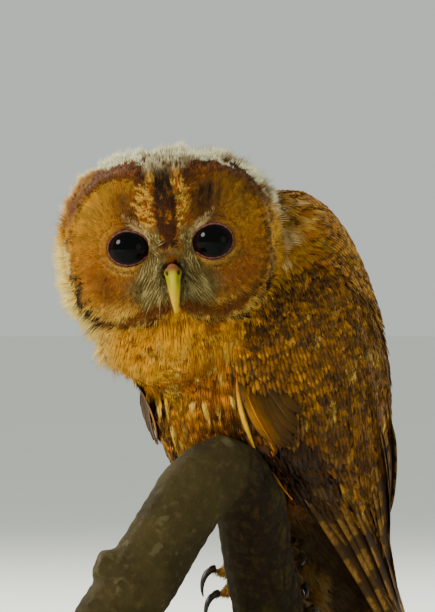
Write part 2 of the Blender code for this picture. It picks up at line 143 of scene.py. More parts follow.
def head_frame():
    """The head's matrix, from its two eyes: x to the right as it is faced, z up, -y out of the face."""
    left, right = middle("eye_left"), middle("eye_right")
    across = Vector((left.x - right.x, 0, left.z - right.z)).normalized()
    out = min(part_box("eye_left")[0].y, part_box("eye_right")[0].y)
    up = Vector((-across.z, 0, across.x))
    place = Vector(((left.x + right.x) / 2, out + EYE_RADIUS + EYE_SET, (left.z + right.z) / 2))
    turn = Matrix((across, Vector((0, 1, 0)), up)).transposed().to_4x4()
    return Matrix.Translation(place) @ turn


HEAD_MATRIX = head_frame()


# ---------------------------------------------------------------- settings


class OwlFinishSettings(bpy.types.PropertyGroup):
    """Sizes and colours that a user may change."""

    seed: IntProperty(name="Seed", description="Start of every random draw", default=7)
    down_length: FloatProperty(
        name="Down length", description="Length of a crown down tuft", default=7.5 * MM, unit="LENGTH"
    )
    feather_length: FloatProperty(
        name="Body feather length",
        description="Length of a breast or back feather",
        default=19 * MM,
        unit="LENGTH",
    )
    ruffle: FloatProperty(
        name="Ruffle", description="How far the tips of the feathers stray", default=1.3 * MM, unit="LENGTH"
    )
    bark_relief: FloatProperty(
        name="Bark relief",
        description="Depth of the bark's plates and cracks",
        default=1.4 * MM,
        unit="LENGTH",
    )
    lid_colour: FloatVectorProperty(
        name="Lid colour",
        description="Bare skin of the eyelids",
        subtype="COLOR",
        default=(0.115, 0.034, 0.028),
    )
    base_colour: FloatVectorProperty(
        name="Base wood",
        description="Stained wood of the stand's base",
        subtype="COLOR",
        default=(0.05, 0.024, 0.012),
    )


# ---------------------------------------------------------------- numbers and colours


RICHNESS = 1.30  # how much purer each colour is made, because soft light washes it out


def tone(red, green, blue):
    """A linear colour of three display values from 0 to 255, made purer."""
    share = np.array((red, green, blue)) / 255
    linear = np.where(share <= 0.04045, share / 12.92, ((share + 0.055) / 1.055) ** 2.4)
    grey = linear @ (0.2126, 0.7152, 0.0722)
    return np.clip(grey + (linear - grey) * RICHNESS, 0.001, 1.0)


def ramp(values, start, end):
    """0 at start, 1 at end, smooth between."""
    t = np.clip((np.asarray(values, float) - start) / (end - start), 0, 1)
    return t * t * (3 - 2 * t)


def column(values, count):
    """Values, or one number for all, as a column."""
    return np.broadcast_to(np.asarray(values, float), (count,))[:, None]


def mix(colours, other, share):
    return colours + (np.asarray(other) - colours) * column(share, len(colours))


def all_of(colour, places):
    """One colour for every place."""
    return np.tile(colour, (len(places), 1))


def vec(x, y, z):
    """Vectors from three parts, each an array or one number for all."""
    return np.stack(np.broadcast_arrays(x, y, z), axis=1)


def cloud(points, size, seed=0):
    """Smooth random values from 0 to 1, with a blotch about every size metres."""
    place = np.asarray(points, float) / size + seed * 17.31
    cell = np.floor(place).astype(np.int64)
    part = place - cell
    part = part * part * (3 - 2 * part)
    total = np.zeros(len(place))
    for corner in np.ndindex(2, 2, 2):
        n = cell + np.array(corner)
        h = (n[:, 0] * 374761393 + n[:, 1] * 668265263 + n[:, 2] * 1440662683) & 0xFFFFFFFF
        h = ((h ^ (h >> 13)) * 1274126177) & 0xFFFFFFFF
        value = ((h ^ (h >> 16)) & 0xFFFF) / 65535
        total += value * np.prod(np.where(np.array(corner) == 1, part, 1 - part), axis=1)
    return total


def into(matrix, points):
    """Points in the frame of a matrix."""
    back = np.array(matrix.inverted())
    return np.asarray(points) @ back[:3, :3].T + back[:3, 3]


def out_of(matrix, points):
    there = np.array(matrix)
    return np.asarray(points) @ there[:3, :3].T + there[:3, 3]


def turned(matrix, vectors):
    return np.asarray(vectors) @ np.array(matrix)[:3, :3].T


def head_way(x, y, z):
    """Directions given in the head's frame."""
    return turned(HEAD_MATRIX, vec(x, y, z))


def unit(vectors):
    length = np.linalg.norm(vectors, axis=1, keepdims=True)
    return vectors / np.maximum(length, 1e-9)


def axis_back(height):
    heights, backs = zip(*BIRD_AXIS)
    return np.interp(height, heights, backs)


def bird_places(points):
    """Height, and degrees round from the keel, positive on the bird's left."""
    local = into(BIRD_MATRIX, points)
    back = local[:, 1] - axis_back(local[:, 2])
    return local[:, 2], np.degrees(np.arctan2(local[:, 0], -back))


def in_head(points):
    """Places in the head's frame, in millimetres: x, y and z."""
    return (into(HEAD_MATRIX, points) / MM).T


def eye_share(x, z):
    """How far a place lies from the nearer eye's middle, in millimetres of the eye's height."""
    return np.hypot((np.abs(x) - EYE_OUT) / EYE_STRETCH, z)


def outward(x):
    """-1 left of the bill, 1 right of it."""
    return np.where(x < 0, -1.0, 1.0)


# Plumage colours.
DOWN_WHITE = tone(232, 228, 196)
DOWN_GREY = tone(120, 100, 72)
FRINGE_AND_BACKLIGHT = tone(238, 214, 148)
OCHRE = tone(214, 150, 62)
GOLD = tone(196, 140, 62)
RUFOUS = tone(166, 94, 30)
DEEP_RUFOUS = tone(114, 66, 28)
RIM_DARK = tone(84, 50, 14)
CREAM = tone(230, 192, 118)
NEAR_BLACK = tone(40, 26, 14)
BRISTLE = tone(136, 118, 78)
BRISTLE_DARK = tone(62, 54, 36)
BROW = tone(222, 200, 150)
BUFF = tone(208, 162, 84)
BREAST_DARK = tone(60, 40, 22)
MANTLE = tone(164, 118, 52)
MANTLE_DARK = tone(98, 64, 28)
BELLY = tone(206, 170, 112)
WING_BROWN = tone(118, 80, 38)
SUNLIT_LEAD = tone(238, 190, 104)
FLIGHT_PALE = tone(160, 124, 78)
FLIGHT_DARK = tone(46, 33, 20)
TAIL_BROWN = tone(118, 86, 52)
TOE_FLUFF = tone(200, 142, 64)


class Paint:
    """Root and tip colours of many places, painted layer over layer."""

    def __init__(self, places, base, tips):
        self.base, self.tips = all_of(base, places), all_of(tips, places)

    def root(self, colour, share):
        self.base = mix(self.base, colour, share)

    def tip(self, colour, share):
        self.tips = mix(self.tips, colour, share)

    def both(self, colour, share, tip_share=None):
        self.root(colour, share)
        self.tip(colour, share if tip_share is None else tip_share)

    def scale(self, share):
        share = share[:, None]
        self.base, self.tips = self.base * share, self.tips * share


def between_two(first, second, share):
    """One colour here, another there."""
    return mix(all_of(first, share), second, share)


def disc_share(x, z):
    """How far out on a face disc a place lies: 0 at its middle, 1 on its edge."""
    off = np.abs(x) - DISC_OUT
    wide = np.where(off > 0, 26.5, 30.0)
    return np.hypot(off / wide, (z + DISC_DROP) / 36.5)


def rim_shares(x, z):
    """How far out a place lies from a disc's middle to its edge, and to the outer edge of its dark rim."""
    off, rise = np.abs(x) - DISC_OUT, z + DISC_DROP
    wide = np.where(off > 0, np.where(x < 0, 28.2, 27.0), 30.0)
    tall = np.where(z > -DISC_DROP, np.where(x < 0, 43.2, 40.6), 37.5)
    return disc_share(x, z), np.hypot(off / wide, rise / tall)


def near_line(x, z, corners):
    """The distance of each place from a bent line."""
    best = np.full(len(x), 1e9)
    for (x0, z0), (x1, z1) in zip(corners, corners[1:]):
        dx, dz = x1 - x0, z1 - z0
        t = np.clip(((x - x0) * dx + (z - z0) * dz) / (dx * dx + dz * dz), 0, 1)
        best = np.minimum(best, np.hypot(x - x0 - t * dx, z - z0 - t * dz))
    return best


def bar_edge(z):
    """How far out the pale bars beside the forehead band reach, in mm."""
    return np.interp(z, (2, 10, 20, 30, 40), (8, 11, 14.5, 12.5, 8.5))


# Lines on the face, in mm in the head's frame: across and up.
BROW_LINE = ((9.0, 1.5), (14.5, 8.0), (22.5, 13.5))
BLACK_LINE = ((-45.5, -12), (-45.0, -22), (-41.0, -32), (-34.0, -37))
FAINT_LINE = ((47, 10), (46.5, -4), (42.5, -16), (36, -26))
CHIN_LINE = ((-33, -34.5), (-24, -34.5), (-16, -31), (-6, -29), (6, -29), (14, -31), (24, -32), (33, -28))


def face_colours(points):
    """Root and tip colours on the front of the head."""
    x, _, z = in_head(points)
    side, eye = np.abs(x), eye_share(x, z)
    r = disc_share(x, z)
    fine, coarse = cloud(points, 1.7 * MM, 1), cloud(points, 5.5 * MM, 2)
    p = Paint(x, RUFOUS, RUFOUS)
    p.root(GOLD, ramp(z, -16, 14) * ramp(side, 16, 36))
    p.root(DEEP_RUFOUS, 0.50 * ramp(z, -2, -22) * ramp(side, 46, 30))
    p.root(DEEP_RUFOUS, 0.45 * ramp(side, 24, 14) * ramp(z, 6, 20))
    p.root(OCHRE, 0.65 * ramp(r, 0.62, 0.88) * ramp(side, 30, 40) * ramp(z, 30, 10))
    sallow = 0.6 * ramp(r, 0.45, 0.8) * ramp(z, 6, 22) * ramp(x, 10, -10) * ramp(coarse, 0.2, 0.6)
    p.root(tone(158, 128, 66), sallow)
    p.root(tone(110, 62, 26), 0.45 * ramp(eye, 13.0, 10.4))
    p.tips = mix(p.base, CREAM, 0.05 + 0.30 * fine)
    p.tip(CREAM, 0.75 * (ramp(eye, 12.6, 11.6) * ramp(z, -3, -7)))
    p.base = p.base * 0.78
    # painted shade: darker above the eyes' inner halves, over the side towards the wing and low on the far
    # outer side, with a little painted light low on the wing's side
    painted_shade = 0.42 * ramp(z, 4, 12) * ramp(z, 30, 18) * ramp(side, 31, 20)
    painted_shade += 0.30 * ramp(x, 0, 36) + 0.14 * ramp(x, 4, 20) * ramp(z, 2, 14)
    painted_shade += 0.14 * ramp(x, -24, -34) * ramp(z, 10, -4) + 0.16 * ramp(x, 2, 14) * ramp(z, 12, 24)
    painted_shade -= 0.10 * ramp(x, 6, 20) * ramp(z, -8, -20)
    spoke = np.sin(np.degrees(np.arctan2(z, side - EYE_OUT)) * 0.55 + 5 * coarse)
    p.scale(1 - painted_shade - 0.2 * ramp(coarse, 0.5, 0.85) - 0.09 * spoke * ramp(eye, 12, 18))
    # pale chin feathers over the lower edge of each disc
    low = ramp(z, -23, -30) * ramp(side, 8, 14)
    p.root(RUFOUS, low * 0.8)
    p.tip(CREAM, low * (0.45 + 0.5 * ramp(cloud(points, 2.1 * MM, 16), 0.38, 0.56)))
    # forehead band with its pale mottled bars
    middle = np.abs(x + 1.2)
    reach = bar_edge(z) * np.where(x > -1.2, 0.82, 1.04)
    bars = ramp(middle, 3.6, 5.0) * ramp(middle, reach + 1.5, reach - 1.5)
    bars *= ramp(z, 2, 8) * ramp(z, 37, 32)
    curl = cloud(points, 1.35 * MM, 14)
    p.root(DEEP_RUFOUS, bars)
    p.tip(RUFOUS, bars * 0.8)
    p.tip(CREAM, bars * ramp(curl, 0.42, 0.54))
    p.tip(RIM_DARK, bars * ramp(curl, 0.36, 0.24) * 0.8)
    # dark rim, darkest above, broken and speckled below
    top = ramp(z, 32, 36)
    rim = ramp(r, 0.885, 0.94) * ramp(z, -2, 8) * ramp(side, 7 - 2.5 * top, 10 - 4 * top)
    dark = between_two(RIM_DARK, DEEP_RUFOUS, ramp(coarse, 0.42, 0.7) * 0.7)
    dark = mix(dark, tone(160, 106, 44), ramp(fine, 0.56, 0.72) * 0.5)
    p.root(dark * 0.8, rim)
    # the rim's tips are painted darker towards the wing, as painted shade
    p.tip(dark * (1.05 - 0.30 * ramp(x, -10, 20))[:, None], rim)
    under = ramp(r, 0.90, 0.95) * ramp(z, 8, -2)
    speck = ramp(cloud(points, 2.5 * MM, 13), 0.42, 0.5)
    p.both(NEAR_BLACK, under * speck)
    p.tip(CREAM, under * (1 - speck) * 0.75)
    # painted shade under the rim on the side towards the wing
    p.tip(tone(74, 44, 18), under * ramp(x, 10, 30) * 0.6 * ramp(z, -27, -18))
    notch = top * ramp(side, 11.5, 8.5)
    ground = between_two(tone(212, 200, 166), tone(86, 62, 36), ramp(fine, 0.56, 0.70))
    p.root(ground * 0.6, notch)
    p.tip(ground, notch)
    band = ramp(middle, 5.4, 3.8) * ramp(z, -7, -3) * ramp(z, 38, 32)
    shades = between_two(NEAR_BLACK, DEEP_RUFOUS * 0.6, ramp(z, 27, 14) * 0.8)
    shades = mix(shades, OCHRE, ramp(curl, 0.60, 0.74) * (0.25 + 0.35 * ramp(z, 22, 10)))
    shades = mix(shades, between_two(NEAR_BLACK, DOWN_GREY, ramp(fine, 0.3, 0.6)), ramp(z, 29, 34))
    p.root(shades, band)
    p.tip(shades * 0.76, band)
    # black bars low on the side away from the wing, and a fine dark line on the other
    edge = ramp(near_line(x, z, BLACK_LINE), 2.6, 1.4)
    edge *= ramp(cloud(points * (1, 1, 1.6), 2.6 * MM, 15), 0.36, 0.46)
    edge = np.maximum(edge, 0.8 * ramp(near_line(x, z, FAINT_LINE), 1.9, 0.8))
    p.both(NEAR_BLACK, edge, edge * 0.95)
    # grey space between the eyes and the bill, and the whiskers' ground
    lore = ramp(side, 4, 6) * ramp(side, 13.5, 10) * ramp(z, 9, 3) * ramp(z, -14, -8)
    fall = np.degrees(np.arctan2(-(z + 3), np.maximum(side, 0.1)))
    whisker = ramp(fall, 20, 36) * ramp(np.hypot(side, z + 3), 33, 24) * ramp(z, -2, -8)
    grey = np.maximum(lore, whisker)
    p.root(tone(96, 88, 58), grey * 0.85)
    p.tip(between_two(BRISTLE, BRISTLE_DARK, ramp(fine, 0.55, 0.7) * 0.5), grey)
    far = ramp(side, 12, 22)
    brow = ramp(near_line(side, z, BROW_LINE), 2.3 - 1.5 * ramp(side, 10, 22), 0.5) * (0.9 - 0.35 * far)
    p.both(BROW, brow * 0.7, brow)
    # the rufous line round the chin
    chin = ramp(near_line(x, z, CHIN_LINE) + 1.3 * ramp(x, -12, -22), 3.6, 2.0) * 0.95
    p.root(RIM_DARK, chin)
    p.tip(between_two(DEEP_RUFOUS, RIM_DARK, 0.5 * ramp(fine, 0.6, 0.4)), chin)
    return p.base, p.tips


def head_colours(points):
    """Crown, nape, cheeks and throat."""
    x, y, z = in_head(points)
    blotch, fine = cloud(points, 6.5 * MM, 3), cloud(points, 3 * MM, 4)
    crown = Paint(x, DOWN_GREY, DOWN_WHITE)
    crown.root(tone(78, 54, 30), ramp(blotch, 0.40, 0.7))
    crown.tip(DOWN_GREY, 0.8 * ramp(blotch, 0.55, 0.74))
    notch = ramp(np.abs(x + 1), 10, 3) * ramp(y, 4, -22) * ramp(fine, 0.40, 0.56)
    crown.tip(tone(104, 80, 50), notch * 0.5)
    nape = ramp(y, -8, 16) * ramp(z, 44, 18)
    crown.root(MANTLE_DARK, nape * 0.7)
    crown.tip(tone(190, 144, 76), nape * (0.55 + 0.4 * ramp(fine, 0.2, 0.6)))
    crown.tip(MANTLE_DARK, nape * 0.7 * ramp(blotch, 0.6, 0.75))
    side = Paint(x, tone(150, 98, 44), tone(206, 158, 84))
    side.tip(MANTLE_DARK, 0.45 * ramp(fine, 0.50, 0.75) * ramp(x, -10, 30))
    by_rim = ramp(z, 6 + 7 * ramp(x, -20, 0), 14) * ramp(y, 2, -16)
    side.root(RIM_DARK, by_rim * 0.8)
    side.tip(between_two(tone(128, 88, 44), RIM_DARK, ramp(fine, 0.4, 0.6)), by_rim * 0.85)
    # pale fringe on the side away from the wing: partly its own pale down, partly painted back light
    fringe = ramp(x, -18, -40) * ramp(z, 9, 1) * ramp(y, 26, 6)
    side.tip(FRINGE_AND_BACKLIGHT, fringe)
    side.root(tone(206, 168, 92), fringe)
    throat = ramp(z, -26, -38) * ramp(np.abs(x - 2), 46, 26) * ramp(y, 20, -2)
    side.root(tone(160, 98, 38), throat)
    side.tip(tone(248, 182, 84), throat * 0.9)
    side.tip(CREAM, throat * 0.6 * ramp(blotch, 0.6, 0.8))
    side.tip(tone(116, 64, 24), throat * ramp(fine, 0.6, 0.78) * 0.9)
    behind = ramp(y, 6, 24) * ramp(z, 8, -14)
    side.root(MANTLE_DARK, behind)
    side.tip(MANTLE, behind * 0.9)
    top = np.maximum(crown_share(x, y, z), nape * ramp(z, -26, -4))[:, None]
    return crown.base * top + side.base * (1 - top), crown.tips * top + side.tips * (1 - top)


def crown_share(x, y, z):
    """1 on the white down of the crown, whose edge runs from the brow back down to the nape."""
    edge = 27 - 0.62 * np.clip(y + 26, 0, 44) + 24 * ramp(x, -20, -35) * ramp(y, 14, -6)
    return ramp(z - edge, -3, 3)


def body_colours(points):
    """Neck, breast, belly, back, wings, tail and legs share one ground."""
    height, angle = bird_places(points)
    side, across = np.abs(angle), points[:, 0]
    blotch, fine = cloud(points, 9 * MM, 5), cloud(points, 3.2 * MM, 6)
    p = Paint(height, tone(134, 78, 30), OCHRE)
    p.tip(BUFF, ramp(fine, 0.35, 0.7))
    p.tip(RUFOUS, 0.55 * ramp(blotch, 0.5, 0.7))
    belly = ramp(height, -0.045, -0.085)
    p.tip(BELLY, belly * 0.8)
    p.root(tone(120, 88, 50), belly)
    # painted shade on the belly's right side
    shade = belly * ramp(angle, -30, 5)
    p.tip(tone(84, 60, 34), shade * 0.9)
    p.root(FLIGHT_DARK, shade * 0.85)
    # painted shade low on the front towards +x, between the wing and the limb
    p.scale(1 - 0.6 * ramp(across, 0.008, 0.022) * ramp(points[:, 2], 0.190, 0.170) * ramp(side, 112, 84))
    back = np.maximum(ramp(side, 78, 112), behind_head(points, height))
    front = 1 - back
    p.root(MANTLE_DARK, back * 0.8)
    p.tip(between_two(MANTLE, BUFF, 0.5 * ramp(fine, 0.5, 0.8)), back)
    p.tip(CREAM, ramp(blotch, 0.68, 0.8) * back * ramp(height, 0.02, 0.05) * 0.4)
    # painted light: the front's tips lighter towards -x and higher up
    p.tip(tone(250, 190, 92), ramp(across, 0.0, -0.035) * ramp(height, -0.010, 0.020) * front * 0.75)
    # painted shade: the front's tips darker towards +x, from the upper breast up
    hollow = ramp(height, -0.012, 0.004)
    p.tips = p.tips * (1 - 0.25 * ramp(across, -0.004, 0.020) * hollow * front)[:, None]
    rusty = ramp(across, -0.030, -0.014) * ramp(height, 0.035, -0.005) * front * (1 - belly)
    p.tip(tone(146, 84, 36), rusty * (0.45 + 0.4 * ramp(fine, 0.3, 0.6)))
    p.root(tone(84, 44, 20), rusty * 0.7)
    nape = ramp(height, 0.055, 0.085) * ramp(side, 50, 90)
    p.tip(MANTLE, nape * 0.8)
    p.root(MANTLE_DARK, nape * 0.7)
    return p.base, p.tips


def wing_colours(points):
    blotch, fine, across = cloud(points, 8 * MM, 7), cloud(points, 3 * MM, 8), points[:, 0]
    p = Paint(points, tone(78, 52, 28), WING_BROWN)
    p.tip(MANTLE, 0.7 * ramp(fine, 0.4, 0.7))
    p.tip(CREAM, 0.45 * ramp(blotch, 0.74, 0.82))
    # painted shade in the hollow under the bend of the wing that faces the perch
    wing_shade = ramp(points[:, 2], 0.204, 0.190) * ramp(across, 0.058, 0.032) * ramp(across, 0.0, 0.012)
    p.tip(tone(84, 48, 20), wing_shade * 0.7)
    p.scale(1 - 0.72 * wing_shade)
    return p.base, p.tips


def tail_colours(points):
    return all_of(FLIGHT_DARK, points), all_of(TAIL_BROWN, points)


def leg_colours(points):
    tips = between_two(TOE_FLUFF, BELLY, ramp(cloud(points, 3 * MM, 9), 0.3, 0.7))
    # painted shade: the tips darker towards +x
    tips = tips * (1 - 0.74 * ramp(points[:, 0], 0.014, 0.026))[:, None]
    return tips * 0.55, tips


def marking(points, kinds):
    """Root and tip colours for skin and coat alike, from the part of the flesh each point is on."""
    s = Places(np.asarray(points, float), kinds)
    base, tips = np.zeros((2, len(points), 3))
    ragged = -13 - (3 + 10 * ramp(s.z, -14, 0)) * ramp(cloud(s.at, 4.5 * MM, 17), 0.36, 0.64)
    facing = front_of_head(s) & (s.y < ragged)
    for mask, colours in (
        (facing, face_colours),
        (s.on(HEAD, DISC) & ~facing, head_colours),
        (s.on(NECK, TRUNK), body_colours),
        (s.on(WING_L, WING_R), wing_colours),
        (s.on(TAIL), tail_colours),
        (kinds >= LEG_L, leg_colours),
    ):
        if mask.any():
            base[mask], tips[mask] = colours(s.at[mask])
    # the neck takes the head's colours where they meet
    meet = s.on(NECK) & (s.z > -60)
    if meet.any():
        reach = np.linalg.norm(np.stack((s.x, s.y * 0.9, s.z))[:, meet], axis=0)
        near = (ramp(reach, 60, 47) * (1 - behind_head(s.at[meet], s.height[meet])))[:, None]
        for ours, theirs in zip((base, tips), head_colours(s.at[meet])):
            ours[meet] += (theirs - ours[meet]) * near
    return np.clip(base, 0, 1), np.clip(tips, 0, 1)


# ---------------------------------------------------------------- meshes


def linked(name, mesh):
    piece = bpy.data.objects.new(name, mesh)
    bpy.context.scene.collection.objects.link(piece)
    return piece


def plain_mesh(piece):
    """Turns a piece's modifiers into its mesh."""
    depsgraph = bpy.context.evaluated_depsgraph_get()
    made = bpy.data.meshes.new_from_object(piece.evaluated_get(depsgraph), depsgraph=depsgraph)
    piece.modifiers.clear()
    old, piece.data = piece.data, made
    made.name = piece.name
    bpy.data.meshes.remove(old)
    return made


def mesh_arrays(mesh):
    """The points and the normals of a mesh."""
    arrays = np.empty((2, len(mesh.vertices) * 3))
    for row, field in zip(arrays, ("co", "normal")):
        mesh.vertices.foreach_get(field, row)
    return arrays.reshape(2, -1, 3)


def edge_pairs(mesh):
    pairs = np.empty(len(mesh.edges) * 2, np.int64)
    mesh.edges.foreach_get("vertices", pairs)
    return pairs.reshape(-1, 2)


def eased(values, pairs, rounds, step=0.5):
    """Values smoothed along a mesh's edges."""
    values = np.array(values, float).reshape(len(values), -1)
    count = np.bincount(pairs.ravel(), minlength=len(values))[:, None]
    for _ in range(rounds):
        total = np.zeros_like(values)
        np.add.at(total, pairs[:, 0], values[pairs[:, 1]])
        np.add.at(total, pairs[:, 1], values[pairs[:, 0]])
        values += (total / np.maximum(count, 1) - values) * step
    return values


def set_points(mesh, points):
    mesh.vertices.foreach_set("co", np.ascontiguousarray(points, np.float32).ravel())
    mesh.update()


def merged_copy(name, growth=0.0):
    """A closed copy of a CAD node's mesh, a little grown if asked."""
    mesh = NODES[name].data.copy()
    mesh.materials.clear()
    form = bmesh.new()
    form.from_mesh(mesh)
    bmesh.ops.remove_doubles(form, verts=form.verts, dist=1e-6)
    form.normal_update()
    for v in form.verts:
        v.co += v.normal * growth
    form.to_mesh(mesh)
    form.free()
    return mesh


def mesh_of(form, name):
    """A mesh from a bmesh, which is freed."""
    mesh = bpy.data.meshes.new(name)
    form.to_mesh(mesh)
    form.free()
    return mesh


def closed_mesh(form, name):
    """A mesh from a closed bmesh, its faces turned outwards."""
    bmesh.ops.recalc_face_normals(form, faces=form.faces)
    return mesh_of(form, name)


def bridge(form, low, high):
    """Faces between two rings, either of which may be a single point."""
    steps = max(len(low), len(high))
    for k in range(steps):
        k1 = (k + 1) % steps
        if len(low) == 1:
            corners = (low[0], high[k1], high[k])
        elif len(high) == 1:
            corners = (low[k], low[k1], high[0])
        else:
            corners = (low[k], low[k1], high[k1], high[k])
        form.faces.new(corners)


def joined(meshes, name):
    form = bmesh.new()
    for mesh in meshes:
        form.from_mesh(mesh)
        bpy.data.meshes.remove(mesh)
    return mesh_of(form, name)


def search_tree(mesh):
    faces = [list(p.vertices) for p in mesh.polygons]
    return BVHTree.FromPolygons([v.co.copy() for v in mesh.vertices], faces)


def remeshed(name, mesh, voxel):
    piece = linked(name, mesh)
    remesh = piece.modifiers.new("Fuse", "REMESH")
    remesh.mode = "VOXEL"
    remesh.voxel_size = voxel
    plain_mesh(piece)
    return piece


def store(mesh, name, kind, field, values):
    layer = mesh.attributes.new(name, kind, "POINT")
    layer.data.foreach_set(field, np.ascontiguousarray(values, np.float32).ravel())


def store_colours(mesh, name, colours):
    full = np.concatenate([colours, np.ones((len(colours), 1))], axis=1)
    store(mesh, name, "FLOAT_COLOR", "color", full)


def store_values(mesh, name, values):
    store(mesh, name, "FLOAT", "value", values)


def store_vectors(mesh, name, vectors):
    store(mesh, name, "FLOAT_VECTOR", "vector", vectors)


def finish_piece(piece, replaced=(), smooth=True):
    """Last step of every piece: shading, body, slot and the nodes that it stands for."""
    if smooth:
        piece.data.shade_smooth()
    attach(piece, BODY)
    if replaced:
        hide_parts(*replaced)


# ---------------------------------------------------------------- materials


def wire(tree, kind, inputs=None, **settings):
    """A node with its settings, and its inputs given as values or as another node's outputs."""
    node = tree.nodes.new(kind)
    for key, value in settings.items():
        setattr(node, key, value)
    for key, value in (inputs or {}).items():
        socket = node.inputs[key]
        if isinstance(value, bpy.types.NodeSocket):
            tree.links.new(value, socket)
        else:
            socket.default_value = value
    return node


def rgb(colour):
    return (*[float(c) for c in colour], 1.0)


class Finish:
    """A material with one principled shader, its constant values set on its own sockets."""

    def __init__(self, name, **fixed):
        self.material = bpy.data.materials.new(name)
        self.material.use_nodes = True
        self.tree = self.material.node_tree
        self.shader = self.tree.nodes["Principled BSDF"]
        for key, value in fixed.items():
            self.shader.inputs[key.replace("_", " ").title().replace("Ior", "IOR")].default_value = value

    def node(self, kind, inputs=None, **settings):
        return wire(self.tree, kind, inputs, **settings).outputs

    def maths(self, operation, *values, clamp=False):
        inputs = {0: values[0], 1: 0.0, **dict(enumerate(values))}
        return self.node("ShaderNodeMath", inputs, operation=operation, use_clamp=clamp)[0]

    def times(self, first, second, clamp=False):
        return self.maths("MULTIPLY", first, second, clamp=clamp)

    def plus(self, first, second):
        return self.maths("ADD", first, second)

    def between(self, value, start, end):
        """0 at start, 1 at end, smooth between."""
        (low, at_low), (high, at_high) = sorted(((start, 0.0), (end, 1.0)))
        inputs = {"Value": value, "From Min": low, "From Max": high, "To Min": at_low, "To Max": at_high}
        return self.node("ShaderNodeMapRange", inputs, interpolation_type="SMOOTHSTEP", clamp=True)[0]

    def blend(self, first, second, share):
        pair = (c if isinstance(c, bpy.types.NodeSocket) else rgb(c) for c in (first, second))
        return self.node("ShaderNodeMix", dict(zip((0, 6, 7), (share, *pair))), data_type="RGBA")[2]

    def attribute(self, name, output="Fac"):
        return self.node("ShaderNodeAttribute", attribute_name=name)[output]

    def parts(self, name):
        return self.node("ShaderNodeSeparateXYZ", {0: self.attribute(name, "Vector")})

    def place(self):
        return self.node("ShaderNodeTexCoord")["Object"]

    def noise(self, scale, detail=3.0, vector=None):
        inputs = {"Vector": vector or self.place(), "Scale": scale, "Detail": detail, "Roughness": 0.6}
        return self.node("ShaderNodeTexNoise", inputs)["Fac"]

    def lit(self, colour, grain, swing, start):
        """A colour made lighter and darker by a grain."""
        inputs = {"Value": self.plus(self.times(grain, swing), start), "Color": colour}
        return self.node("ShaderNodeHueSaturation", inputs)[0]

    def done(self, colour, height=None, depth=0.0, strength=0.6):
        """The material, with its colour and its bump set."""
        self.tree.links.new(colour, self.shader.inputs["Base Color"])
        if height:
            bump = self.node("ShaderNodeBump", {"Strength": strength, "Distance": depth, "Height": height})
            self.tree.links.new(bump[0], self.shader.inputs["Normal"])
        return self.material


def plumage_finish(name, bar_count=4.0, streak_width=0.42, roughness=0.78, barb_count=26.0, streak_from=0.30):
    """Feathers: root to tip colours, a dark shaft streak, cross bars and fine barbs."""
    f = Finish(name, roughness=roughness, specular_ior_level=0.08, sheen_weight=0.04, sheen_roughness=0.5)
    across, along, _ = f.parts("patch")
    streak, bars, chance = f.parts("mark")
    grain = f.noise(420.0)
    tints = (f.attribute("tint_" + end, "Color") for end in ("root", "tip"))
    colour = f.blend(*tints, f.between(along, 0.12, 0.62))
    off = f.maths("ABSOLUTE", across)
    wander = f.maths("MULTIPLY_ADD", grain, 0.3, -0.15)
    shaft = f.between(f.plus(off, wander), streak_width, streak_width * 0.45)
    shaft = f.times(shaft, f.between(along, streak_from, streak_from + 0.22))
    colour = f.blend(colour, BREAST_DARK, f.times(shaft, streak, clamp=True))
    turn = f.plus(f.times(along, bar_count * math.tau), f.times(chance, 6.0))
    wave = f.plus(f.maths("SINE", f.plus(turn, f.times(off, 2.2))), f.times(grain, 0.6))
    colour = f.blend(colour, FLIGHT_DARK, f.times(f.between(wave, 0.35, 0.85), bars, clamp=True))
    barb = f.maths("SINE", f.times(f.plus(f.times(along, 1.4), off), barb_count * math.tau))
    return f.done(f.lit(colour, grain, 0.5, 0.75), barb, 0.0001, 0.5)


def skin_finish():
    f = Finish("Feathered skin", roughness=0.85, specular_ior_level=0.2, sheen_weight=0.2)
    fine = f.noise(700.0)
    return f.done(f.lit(f.attribute("marking", "Color"), fine, 0.7, 0.62), fine, 0.0006, 0.8)


# ---------------------------------------------------------------- the skin


def flesh_tree():
    """One search tree over every flesh node, and the node that each of its faces is of."""
    points, faces, owner = [], [], []
    for kind, name in enumerate(FLESH):
        mesh = NODES[name].data
        first = len(points)
        points += [v.co.copy() for v in mesh.vertices]
        for polygon in mesh.polygons:
            faces.append([first + i for i in polygon.vertices])
            owner.append(kind)
    return BVHTree.FromPolygons(points, faces), owner


MADE = {}  # what one operator leaves for the next


def kinds_of(points):
    """The flesh node nearest each point."""
    tree, owner = MADE["flesh"]
    return np.array([owner[tree.find_nearest(Vector(p))[2]] for p in points])


def lid_reach(a):
    """Half width and half height of the eye's opening at an angle, drawn out at the corner by the bill."""
    corner = math.exp(-(((a - math.pi * 1.08 + math.pi) % math.tau - math.pi) / 0.33) ** 2)
    wide = (10.1 + 1.5 * corner) * MM
    tall = 8.55 * MM * (1 - 0.06 * math.exp(-(((a - 2.1) / 0.5) ** 2)))
    return wide, tall, corner


def globe_height(x, z):
    """How far the eye's globe stands out over a place of its opening."""
    return math.sqrt(max(EYE_RADIUS**2 - x * x - z * z, 1e-6))


